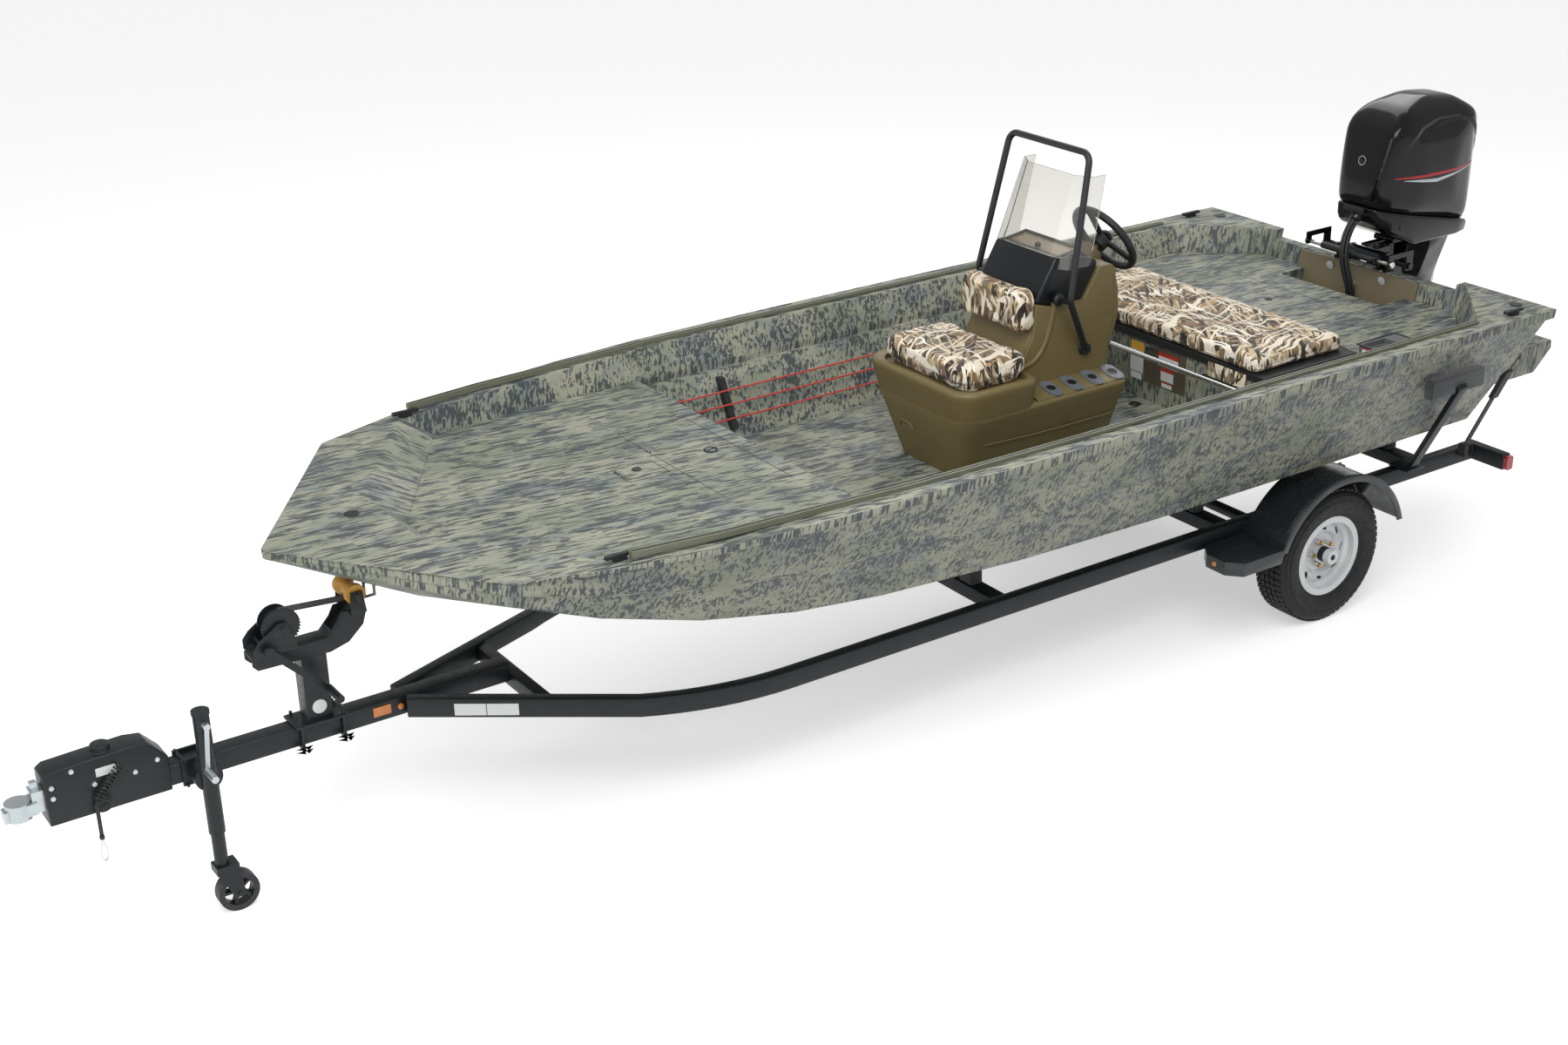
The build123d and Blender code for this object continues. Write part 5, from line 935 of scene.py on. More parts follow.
def make_bench_front():
    """Panel, blank labels and hanging flap on the bench's front."""
    face = BENCH_FACE
    panel = Mould()
    for y0, y1, z0, z1 in PANEL_PARTS:
        panel.add(soft_box(at(face, y0, z0), at(face - PANEL_THICK, y1, z1), 0.0005, 1))
    panel.add(soft_box(at(face + 19, -29, 1091), at(face + 12, 189, 1149), 0.001))
    piece("bench_panel", panel.mesh("bench_panel"), "panel_paint", ROOT, (), 30)
    stickers = Mould()
    for y0, y1, z0, z1, band in LABELS:
        middle = z0 + (z1 - z0) * LABEL_FIELD
        for low, high, mark in ((z0, middle, 0), (middle, z1, band)):
            stickers.add(soft_box(at(face - LABEL_BACK, y0, low), at(face - LABEL_FRONT, y1, high),
                                  0.0004, 1), mark)
    piece("bench_labels", stickers.mesh("bench_labels", ("label_white", "label_yellow", "label_red")), None,
          ROOT, (), 30)
    flap = Mould().add(soft_box(at(4137, 372, 1196), at(4146, 598, 1128), 0.004, 2))
    flap.add(soft_box(at(4138, 340, 1128), at(4149, 606, 1118), 0.003, 2), 1)
    piece("bench_flap", flap.mesh("bench_flap", ("reed_cloth", "black_moulding")), None, "bench_seat",
          (), 40)


def make_port_tray():
    """Boss, raised rim and blank label of the tray behind the bench."""
    tray = Mould()
    tray.add(lathe([(0.1, -4), (34, -4), (38, 4), (36, 12), (28, 16), (0.1, 17)],
                   at(4790, 776, 1217), (0, 0, 1), 36))
    for low, high in (((4712, 686, 1236), (4720, 872, 1243)), ((4952, 690, 1236), (4962, 868, 1243)),
                      ((4716, 686, 1236), (4958, 694, 1243)), ((4716, 864, 1236), (4958, 872, 1243))):
        tray.add(soft_box(at(*low), at(*high), 0.003, 2))
    tray.add(soft_box(at(4713.5, 722, 1208), at(4711.8, 836, 1226), 0.0004, 1), 1)
    tray.add(soft_box(at(4713.5, 722, 1226), at(4711.8, 836, 1233), 0.0004, 1), 2)
    piece("tray_boss", tray.mesh("tray_boss", ("black_moulding", "label_white", "label_red")), None, ROOT,
          (), 40)


def make_transom_washers():
    """Low washers and bolts, which the steering ram passes at full tilt."""
    washers = Mould()
    plate = search_tree(frame["nodes"]["transom_plate"].data)
    for y in (-161, 161):
        spot = plate.ray_cast(at(5200, y, 1252), Vector((-1, 0, 0)))
        washers.add(lathe([(7, -1), (21, -1), (21, 0.7), (19.5, 1.1), (7, 1.1)], spot[0], spot[1], 32, True))
        washers.add(lathe([(0.1, 0), (10, 0), (10, 0.9), (8, 1.5), (0.1, 1.5)], spot[0], spot[1], 6))
    piece("transom_washers", washers.mesh("transom_washers"), "silver_paint", ROOT, (), 40)


def make_pads():
    """Padded covers over the pads' solids: swollen, creased, flat at the back and held near their boxes."""
    forms = [(row[0], pad_form(row[1], PAD_INSET, row[3])) for row in PADS]
    swollen = swell([(name, mesh.copy()) for name, mesh in forms])
    for index, ((name, node, body, _, cap, axis, sign, welt), (_, mesh)) in enumerate(zip(PADS, forms)):
        low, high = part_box(node)
        centre, span = (low + high) / 2, high - low
        for number, v in enumerate(mesh.vertices):
            start = v.co.copy()
            if swollen:
                push = swollen[index][number] - start
                if push.length > cap:
                    push *= cap / push.length
            else:
                share = [1 - abs(2 * (start[k] - centre[k]) / span[k]) ** 2.5 for k in range(3)]
                others = [share[k] for k in range(3) if k != axis]
                push = Vector((0, 0, 0))
                push[axis] = sign * max(others[0] * others[1], 0.0) * cap
            crease = sum(noise.noise(start * scale) * height for scale, height in CREASES)
            place = start + push
            place[axis] += crease * sign
            back = low[axis] if sign > 0 else high[axis]
            rest = back + BACK_LIFT * sign
            if (place[axis] - rest) * sign < BACK_NEAR and (start[axis] - back) * sign < BACK_REACH:
                place[axis] = rest
            for k in range(3):
                place[k] = min(max(place[k], low[k] - PAD_UNDER), high[k] + PAD_OVER)
            if name == "seat_pad":
                spread = smoothstep(place.z, *SEAT_LIP) * SEAT_SPREAD
                for k in (0, 1):
                    place[k] += spread * (place[k] - centre[k]) / (span[k] / 2)
            v.co = place
        mesh = through(mesh, ("SMOOTH", {"factor": 0.4, "iterations": 2}),
                       ("SUBSURF", {"levels": 1, "render_levels": 1}))
        made = piece(name, mesh, "reed_cloth", body, (node,), 0)
        add_welt(name, mesh, body, axis, low, high, welt)


WELT_STEPS = 140
WELT_SQUARE = 0.35


def add_welt(name, mesh, body, axis, low, high, share):
    """Welt round a pad, laid on its own surface at a share of its thickness."""
    tree = search_tree(mesh)
    centre, span = (low + high) / 2, high - low
    start = centre.copy()
    start[axis] = low[axis] + span[axis] * share
    a, b = [k for k in range(3) if k != axis]
    line = []
    for k in range(WELT_STEPS):
        angle = 2 * pi * k / WELT_STEPS
        out = Vector((0, 0, 0))
        for direction, value in ((a, cos(angle)), (b, sin(angle))):
            out[direction] = abs(value) ** WELT_SQUARE * (1 if value > 0 else -1) * span[direction]
        hit = tree.ray_cast(start + out, -out.normalized())
        if hit[0]:
            line.append(hit[0])
    welt = Mould().add(tube(line, sizes().welt, 6, closed=True))
    piece(name + "_welt", welt.mesh(name + "_welt"), "reed_cloth", body, (), 60)


# Console

# Rings of the moulding: front, aft, half width, front corner, aft corner, height
CONSOLE_FORMS = {
    "base": (
        (2890, 3720, 215, 92, 30, 900.6), (2876, 3720, 240, 96, 30, 964), (2846, 3720, 299, 104, 32, 1115),
        (2832, 3720, 326, 108, 34, 1172), (2833, 3718, 327, 106, 32, 1184), (2840, 3712, 321, 100, 28, 1192),
        (2852, 3702, 309, 92, 24, 1195)),
    "seat": (
        (2836, 3222, 322, 108, 60, 1160), (2828, 3222, 331, 108, 60, 1200), (2814, 3222, 345, 108, 60, 1275),
        (2811, 3222, 347, 107, 60, 1292), (2813, 3220, 345, 106, 58, 1302), (2820, 3214, 338, 100, 52, 1309),
        (2830, 3206, 328, 92, 44, 1311), (2846, 3200, 312, 86, 40, 1310), (2856, 3197, 300, 82, 36, 1305),
        (2860, 3196, 296, 80, 34, 1286)),
    "upright": (
        (3150, 3720, 206, 40, 36, 1192), (3168, 3721, 206, 40, 36, 1240), (3205, 3722, 206, 40, 36, 1296),
        (3226, 3724, 206, 38, 36, 1330), (3262, 3742, 206, 36, 36, 1382), (3290, 3759, 205, 34, 36, 1440),
        (3296, 3757, 204, 34, 36, 1500), (3300, 3752, 204, 34, 36, 1545)),
    "helm": (
        (3552, 3757, 205, 30, 36, 1500), (3560, 3752, 204, 30, 36, 1545), (3592, 3741, 203, 30, 36, 1598),
        (3620, 3729, 202, 30, 34, 1642), (3632, 3722, 200, 28, 32, 1658), (3642, 3714, 194, 26, 28, 1667),
        (3654, 3704, 184, 20, 22, 1671)),
}

# Station and height along the fold from the seat up to the helm
SWEEP = ((3205, 1308), (3262, 1312), (3310, 1332), (3348, 1376), (3374, 1440), (3392, 1510), (3402, 1560))
RIDGE_STEPS, ARCH_STEPS = 24, 16
RIDGE_R, FOLD_R = 0.004, 0.013


def make_console():
    """Rounded moulding in four forms, with the ridges pressed into it."""
    form = Mould()
    for rows in CONSOLE_FORMS.values():
        form.add(skin([round_ring(*row) for row in rows]))
    mesh = form.mesh("console_moulding")
    piece("console_moulding", mesh, "console_moulding", ROOT, ("console_tub",), 42)
    softened("console_upright", "console_body", "console_moulding", 0.006, 3, 35.0, 38.0)
    ridges = Mould()
    for sign in (-1, 1):
        line = []
        for share in [k / RIDGE_STEPS for k in range(RIDGE_STEPS + 1)]:
            line.append(at(2975 + 700 * share, sign * (270.5 + 2.6 * (1 - share)),
                           1046 - 14 * sin(pi * min(share * 1.6, 1.0) * 0.5)))
        ridges.add(tube(line, RIDGE_R, 8))
        ridges.add(tube(route_points([at(s, sign * 201, z) for s, z in SWEEP], 40), FOLD_R, 12))
    arch = [at(2861 - 7 * sin(a), -95 + 45 * cos(a), 1040 + 34 * sin(a)) for a in
            [pi * (1 - k / ARCH_STEPS) for k in range(ARCH_STEPS + 1)]]
    ridges.add(tube(arch, RIDGE_R, 8))
    piece("console_ridges", ridges.mesh("console_ridges"), "console_moulding", ROOT, (), 60)


LEDGE_TILT = radians(13)
LEDGE_TOP = 1222
LEDGE_STATIONS = (3232, 3240, 3480, 3704, 3710)
HOLDER_STATIONS = (3345, 3458, 3571, 3684)
HOLDER_Y = 261
PLATE_R, PLATE_HALF = 35, 25


def stadium(place, side, out, scale, height, steps=40):
    """Ring of a long plate with round ends, across a ledge."""
    ring = []
    for k in range(steps):
        angle = 2 * pi * k / steps
        across = (PLATE_R * sin(angle) + (PLATE_HALF if sin(angle) >= 0 else -PLATE_HALF)) * scale
        along = PLATE_R * cos(angle) * scale
        ring.append(place + Vector((along, 0, 0)) / 1000 + side * across / 1000 + out * height / 1000)
    return ring


def make_ledges():
    """Sloping ledges beside the console with their rod holders' plates."""
    ledges, plates = Mould(), Mould()
    for sign in (-1, 1):
        tilt = Matrix.Rotation(-sign * LEDGE_TILT, 3, "X")
        rings = []
        for y, z in ((200, 1196), (200, LEDGE_TOP), (208, LEDGE_TOP + 1), (309, 1200), (316, 1196)):
            rings.append([at(s, sign * y, z) for s in LEDGE_STATIONS])
        ledges.add(skin([list(column) for column in zip(*rings)]))
        out, side = tilt @ Vector((0, 0, 1)), tilt @ Vector((0, 1, 0))
        for station in HOLDER_STATIONS:
            place = at(station, sign * HOLDER_Y, 1213)
            for scale, low, high in ((1.0, -2.0, 2.0), (0.88, 1.0, 3.0)):
                plates.add(skin([stadium(place, side, out, scale, height) for height in (low, high)]))
            # Dark disc in the holder's mouth: painted shade of the hole
            plates.add(lathe([(0.1, 3.0), (21, 3.0), (21, 3.4), (0.1, 3.4)], place, out, 28), 1)
            plates.add(lathe([(20.5, 1), (24, 1), (24, 4.2), (22.5, 5), (20.5, 4.2)], place, out, 28, True))
    piece("console_ledges", ledges.mesh("console_ledges"), "console_moulding", ROOT, (), 30)
    piece("holder_plates", plates.mesh("holder_plates", ("grey_moulding", "slot_black")), None, ROOT,
          (), 40)
    dress("grey_moulding", "rod_holders")


TRAY_HALF_S, TRAY_HALF_Y, TRAY_RIM = 74, 176, 10


def make_dash():
    """Pod with its sloping tray, instruments and screen."""
    softened("dash_pod", "console_pod", "pod_moulding", 0.014, 4, 25.0, 40.0)
    tray = Mould()
    slope = Matrix.Rotation(atan2(22, 152), 3, "Y")
    centre = at(3488, 0, 1739)
    s, y = TRAY_HALF_S, TRAY_HALF_Y
    tray.add(soft_box(centre - Vector((s, y, 3)) / 1000, centre + Vector((s, y, 5)) / 1000, 0.006, 3, slope))
    for low, high in (((-s, -y), (TRAY_RIM - s, y)), ((s - TRAY_RIM, -y), (s, y)),
                      ((-s, -y), (s, TRAY_RIM - y)), ((-s, y - TRAY_RIM), (s, y))):
        offset = Vector(((low[0] + high[0]) / 2000, (low[1] + high[1]) / 2000, 0.009))
        half = Vector(((high[0] - low[0]) / 2000, (high[1] - low[1]) / 2000, 0.007))
        middle = centre + slope @ offset
        tray.add(soft_box(middle - half, middle + half, 0.004, 2, slope), 1)
    tray.add(lathe([(12, 0), (12, 12), (10, 16), (0.1, 17)], centre + slope @ Vector((0.01, 0.0, 0.005)),
                   slope @ Vector((0, 0, 1)), 20), 1)
    piece("dash_tray", tray.mesh("dash_tray", ("console_tray", "black_moulding")), None, ROOT,
          (), 40)
    gauges = Mould()
    for y in (-120, -40, 60, 130):
        gauges.add(lathe([(0.1, -30), (38, -30), (42, 0), (42, 6), (34, 9), (34, 4), (0.1, 4)],
                         at(3590, y, 1716), (-0.75, 0, 0.66), 28))
    piece("gauge_rings", gauges.mesh("gauge_rings"), "black_moulding", ROOT, (), 40)
    dress("clear_sheet", "windscreen")


def make_grab_rail():
    """Rail with the round sockets that hold it to the console."""
    softened("grab_hoop", "grab_rail", "rail_paint", 0, smooth=60.0)
    balls = Mould()
    for sign in (-1, 1):
        balls.add(lathe([(0.1, -14), (20, -12), (26, -6), (26, 6), (20, 12), (0.1, 14)],
                        at(3405, sign * 222, 1578), (0, 1, 0), 20))
        balls.add(lathe([(0.1, 0), (24, 0), (28, 3), (28, 8), (20, 16), (0.1, 20)],
                        at(3565, sign * 205.5, 1330), (0, sign, 0), 24))
    piece("rail_sockets", balls.mesh("rail_sockets"), "black_moulding", ROOT, (), 45)


HELM_RISE = radians(32)
HELM_SWELL = 0.0028     # gives back what the smoothing takes off the rim


def make_helm():
    """Steering wheel with a rounded rim and its cap."""
    mesh = melted("steering_wheel", "black_moulding", 0.004, 4)
    rim = piece("helm_wheel", mesh, "black_moulding", "helm", ("steering_wheel",), 0)
    for v, out in [(v, v.normal.copy()) for v in rim.data.vertices]:
        v.co += out * HELM_SWELL
    normal = Vector((-cos(HELM_RISE), 0, sin(HELM_RISE)))
    cap = Mould().add(lathe([(0.1, -10), (30, -10), (30, 2), (24, 8), (0.1, 11)],
                            at(3850, 0, 1712) + normal * 0.016, normal, 32))
    piece("helm_cap", cap.mesh("helm_cap"), "pod_moulding", "helm", (), 50)


# Motor

def fit_box(mesh, low, high):
    """Draws a mesh out to a box again after it was smoothed."""
    for k in range(3):
        values = [v.co[k] for v in mesh.vertices]
        start, span = min(values), max(values) - min(values)
        for v in mesh.vertices:
            v.co[k] = low[k] + (v.co[k] - start) / span * (high[k] - low[k])


# Station and height of the crease along the cover's shoulder
SHOULDER = ((5415, 1600), (5500, 1790), (5560, 1900), (5640, 1960), (5760, 1990), (5900, 1985), (6000, 1940),
            (6070, 1850), (6110, 1760), (6140, 1640))
COWL_VOXEL, COWL_PASSES = 0.008, 150
SIDE_DEPTH = 0.008      # how far the sides lie inside the shoulder
SIDE_EDGE = 16.0        # over which the crease runs out, in millimetres

# Trim: name, finish, lift in metres, then station and height along its upper and its lower line
COWL_TRIM = (
    ("cowl_stripe_red", "stripe_red", 0.0016,
     ((5490, 1737), (5640, 1737), (5790, 1737), (5940, 1736), (6052, 1734)),
     ((5490, 1733), (5640, 1724), (5790, 1724), (5940, 1727), (6052, 1732))),
    ("cowl_stripe_silver", "stripe_silver", 0.0012,
     ((5540, 1721), (5640, 1716), (5740, 1708), (5890, 1718), (6048, 1729)),
     ((5540, 1719), (5640, 1704), (5740, 1691), (5890, 1711), (6048, 1727))),
    # The scoop and the seam below are painted shade: dark strips where the opening and the gap fall in shade
    ("cowl_scoop_shade", "slot_black", 0.0015,
     ((5700, 1938), (5790, 1968), (5900, 1975), (5990, 1950), (6050, 1900), (6078, 1850)),
     ((5700, 1934), (5790, 1950), (5900, 1955), (5985, 1932), (6040, 1886), (6072, 1850))),
    ("cowl_seam_shade", "slot_black", 0.0010,
     ((5440, 1598), (5600, 1561), (5800, 1515), (6025, 1467)),
     ((5440, 1593), (5600, 1556), (5800, 1510), (6025, 1462))),
)
TRIM_STEPS, TRIM_ROOT = 28, 0.002


def shoulder_height(station):
    """Height of the crease at a station."""
    for (s0, z0), (s1, z1) in zip(SHOULDER, SHOULDER[1:]):
        if station <= s1:
            return z0 + (z1 - z0) * (station - s0) / (s1 - s0)
    return SHOULDER[-1][1]


def point_along(rows, share):
    """Station and height at a share of a line of rows."""
    place = share * (len(rows) - 1)
    index = min(int(place), len(rows) - 2)
    part = place - index
    return [rows[index][k] * (1 - part) + rows[index + 1][k] * part for k in (0, 1)]


def trim_form(tree, sign, upper, lower, lift):
    """Thin strip laid on one side of the cover, between two lines; three points wide and closed."""
    points, faces = [], []
    for k in range(TRIM_STEPS + 1):
        top, low = point_along(upper, k / TRIM_STEPS), point_along(lower, k / TRIM_STEPS)
        for share in (0.0, 0.5, 1.0):
            s, z = [top[j] * (1 - share) + low[j] * share for j in (0, 1)]
            hit = tree.ray_cast(at(s, sign * 400, z), Vector((0, -sign, 0)))
            if not hit[0]:
                hit = tree.find_nearest(at(s, sign * 160, z))
            points += [hit[0] + hit[1] * lift, hit[0] - hit[1] * TRIM_ROOT]
    for k in range(TRIM_STEPS):
        for j in range(2):
            a, b = (k * 3 + j) * 2, (k * 3 + j + 1) * 2
            c, d = ((k + 1) * 3 + j + 1) * 2, ((k + 1) * 3 + j) * 2
            faces += [(a, b, c, d), (a + 1, d + 1, c + 1, b + 1)]
        a, d = k * 6, (k + 1) * 6
        faces += [(a, d, d + 1, a + 1), (a + 4, a + 5, d + 5, d + 4)]
    end = TRIM_STEPS * 6
    faces += [(0, 1, 3, 2), (2, 3, 5, 4)]
    faces += [(end, end + 2, end + 3, end + 1), (end + 2, end + 4, end + 5, end + 3)]
    return points, faces


def make_cowl():
    """Motor cover with flowed corners, a crease along its shoulder, stripes, painted shade in the scoop and
    along the seam, and a blank badge.
    """
    mesh = melted("motor_cowl", "gloss_cover", COWL_VOXEL, COWL_PASSES)
    fit_box(mesh, *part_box("motor_cowl"))
    facing = [abs(v.normal.y) for v in mesh.vertices]
    for v, turned in zip(mesh.vertices, facing):
        station, z = (BOW_X - v.co.x) * 1000, v.co.z * 1000
        inside = smoothstep(shoulder_height(station) - z, 0.0, SIDE_EDGE)
        front = smoothstep(station, 5500.0, 5640.0)
        v.co.y -= (1 if v.co.y > 0 else -1) * SIDE_DEPTH * inside * smoothstep(turned, 0.15, 0.8) * front
    mesh = through(mesh, ("SMOOTH", {"factor": 0.5, "iterations": 4}))
    piece("cowl_shell", mesh, "gloss_cover", "motor_steering", ("motor_cowl",), 0)
    tree = search_tree(mesh)
    for name, finish_name, lift, upper, lower in COWL_TRIM:
        strips = Mould()
        for sign in (-1, 1):
            strips.add(trim_form(tree, sign, upper, lower, lift))
        piece(name, strips.mesh(name), finish_name, "motor_steering", (), 50)
    badge = Mould()
    hit = tree.ray_cast(at(5200, 0, 1800), Vector((-1, 0, 0)))
    badge.add(lathe([(0.1, -3), (24, -3), (24, 2), (21, 3.2), (0.1, 3.6)], hit[0], hit[1], 36))
    badge.add(lathe([(19, 3), (22, 3), (22, 4.4), (19, 4.4)], hit[0], hit[1], 36, True), 1)
    piece("cowl_badge", badge.mesh("cowl_badge", ("pod_moulding", "stripe_silver")), None, "motor_steering",
          (), 50)


# Steering ram along y: low, high, radius, finish
RAM_PARTS = ((-150, 150, 17.6, 0), (-166, -150, 17.1, 0), (150, 166, 17.1, 0), (-40, -22, 18.8, 0),
             (24, 42, 18.8, 0), (-255, -170, 9.5, 1), (170, 255, 9.5, 1), (-268, -250, 15, 1),
             (250, 268, 15, 1), (236, 250, 13, 2))
RAM_EDGE = 1.5


def make_motor():
    """Motor below its cover, its caps and the steering ram."""
    softened("motor_lower_cover", "motor_pan", "leg_paint", 0.012, 3, 25.0, 45.0)
    softened("motor_midsection", "motor_leg", "leg_paint", 0.004, 2, 40.0, 50.0)
    dress("leg_paint", "motor_clamp", "motor_swivel")
    softened("propeller_blades", "propeller", "leg_paint", 0.0025, 2, 40.0, 45.0)
    caps = Mould()
    for station, z in ((5560, 1500), (5640, 1484)):
        for sign in (-1, 1):
            caps.add(lathe([(0.1, -14), (20, -14), (20, 4), (24, 6), (24, 12), (18, 16), (0.1, 16)],
                           at(station, sign * 160, z), (0, sign, 0), 28))
    caps.add(soft_box(at(5425, -60, 1560), at(5402, 60, 1590), 0.004))
    piece("pan_caps", caps.mesh("pan_caps"), "black_moulding", "motor_steering", (), 45)
    ram = Mould()
    for y0, y1, radius, mark in RAM_PARTS:
        ram.add(lathe([(0.1, y0), (radius - RAM_EDGE, y0), (radius, y0 + RAM_EDGE), (radius, y1 - RAM_EDGE),
                       (radius - RAM_EDGE, y1), (0.1, y1)], at(5403, 0, 1364), (0, 1, 0), 24), mark)
    piece("ram_body", ram.mesh("ram_body", ("black_moulding", "bright_metal", "brass_tip")), None,
          "motor_tilting", (), 45)
    dress("leg_paint", "steering_ram")


# Wheels and trailer

# One side of the tyre's section from the bead out: radius, distance from the middle
TYRE_SIDE = ((174, 57), (184, 69), (196, 75), (214, 84), (236, 90.5), (256, 92), (276, 88), (291, 80),
             (301, 71))

# Rings on the tyre's side: radius, half width, distance from the middle
SIDE_RINGS = ((205, 1.8, 79.5), (262, 1.6, 91.5), (282, 1.8, 85.5))
NUTS, NUT_CIRCLE = 5, 57

# Ribs of the tread: middle, half width, count, share filled, slant in degrees
RIBS = ((-56, 11.5, 62, 0.74, 1.0), (-29, 11.0, 58, 0.80, 1.6), (0, 10.5, 58, 0.82, 0.8),
        (29, 11.0, 58, 0.80, -1.6), (56, 11.5, 62, 0.74, -1.0))
SHOULDER_RIB = 40       # a rib whose middle lies further out runs down into the side


def make_wheels():
    """Tyres with rings and tread, and the nuts, caps and a painted-shade ring of the wheels."""
    dress("silver_paint", "wheel_port", "wheel_starboard")
    depth = sizes().tread_depth * 1000
    crown = TYRE_R - depth
    outer = [*TYRE_SIDE, (crown - 1.0, 60), (crown, 40)]
    profile = [(radius, -y) for radius, y in outer] + [(crown, 0)] + outer[::-1]
    for sign, side in ((1, "port"), (-1, "starboard")):
        centre = at(AXLE_S, sign * WHEEL_Y, TYRE_R)
        form = Mould()
        form.add(lathe(profile, centre, (0, 1, 0), 96, True))
        for radius, width, half in SIDE_RINGS:
            for edge in (-1, 1):
                form.add(lathe([(radius - width, edge * (half - 2)), (radius - width, edge * (half + 1)),
                                (radius + width, edge * (half + 1)), (radius + width, edge * (half - 2))],
                               centre, (0, 1, 0), 96, True))
        form.add(tread_blocks(centre, crown, depth))
        mesh = form.mesh("tyre_" + side + "_cover")
        piece("tyre_" + side + "_cover", mesh, "tyre_rubber", "wheel_" + side,
              ("tyre_" + side,), 34)
        nuts = Mould()
        for k in range(NUTS):
            angle = 2 * pi * k / NUTS
            place = at(AXLE_S - NUT_CIRCLE * cos(angle), sign * WHEEL_Y, TYRE_R + NUT_CIRCLE * sin(angle))
            nuts.add(lathe([(0.1, 6), (11.5, 6), (11.5, 35), (9, 41), (0.1, 42)], place, (0, sign, 0), 6))
        # Dark ring behind the disc's slots: painted shade, so the slots read dark
        nuts.add(lathe([(104, 9), (146, 9), (146, 13), (104, 13)], centre, (0, sign, 0), 48, True), 2)
        nuts.add(lathe([(34.5, 10), (34.5, 60), (31, 66), (31, 86), (27, 93), (0.1, 95)],
                       centre, (0, sign, 0), 36), 1)
        nuts.add(lathe([(0.1, 90), (12, 90), (12, 96), (10, 97), (0.1, 97)], centre, (0, sign, 0), 20), 2)
        mesh = nuts.mesh("wheel_nuts_" + side, ("brass_tip", "frame_paint", "slot_black"))
        piece("wheel_nuts_" + side, mesh, None, "wheel_" + side, (), 40)


def tread_blocks(centre, crown, depth):
    """Five ribs of blocks round the tyre, as one set of small wedges."""
    points, faces = [], []
    for middle, half, count, filled, slant in RIBS:
        at_edge = abs(middle) > SHOULDER_RIB
        low, top = crown - (3.5 if at_edge else 1.5), crown + depth - (0.8 if at_edge else 0.1)
        span = 360 / count * filled
        for k in range(count):
            start = 360 / count * k
            corners = []
            for radius in (low, top):
                for y, shift in ((middle - half, -slant / 2), (middle + half, slant / 2)):
                    for angle in (start + shift, start + shift + span):
                        a = radians(angle)
                        corners.append(centre + Vector((cos(a) * radius, y, sin(a) * radius)) / 1000)
            n = len(points)
            points += corners
            faces += [(n, n + 1, n + 3, n + 2), (n + 4, n + 6, n + 7, n + 5), (n, n + 4, n + 5, n + 1),
                      (n + 2, n + 3, n + 7, n + 6), (n, n + 2, n + 6, n + 4), (n + 1, n + 5, n + 7, n + 3)]
    return points, faces


# Painted pieces of the frame: name, node, width of the rounded edge
FRAME_PARTS = (
    ("rail_tubes", "frame_rails", 0.004), ("tongue_tube", "tongue", 0.004),
    ("cross_tubes", "crossmembers", 0.003), ("winch_post", "winch_stand", 0.0012),
    ("actuator_shell", "brake_actuator", 0.004), ("guide_arms", "guide_posts", 0.002),
)

# Splayed port rail: where its middle leaves the tongue, its run aft and outwards, its fall and half width
RAIL_S, RAIL_Y, RAIL_Z = 452, 50, 549
RAIL_RUN, RAIL_OUT = 1030, 537
RAIL_FALL, RAIL_HALF = 0.0855, 25
RAIL_TURN = atan2(RAIL_OUT, RAIL_RUN)

# Ridges of the mudguard's rim: radius round the axle, y, radius of the ridge
GUARD_RIDGES = ((396, 852, 5), (393, 838, 3.2))
GUARD_START, GUARD_SWEEP, GUARD_STEPS = 26, 137, 56


def rail_face(station, up, lift):
    """Point on the outer face of the splayed port rail."""
    run = station - RAIL_S
    y = RAIL_Y + run * RAIL_OUT / RAIL_RUN + (RAIL_HALF + lift) / cos(RAIL_TURN)
    return at(station, y, RAIL_Z - run * RAIL_FALL + up)


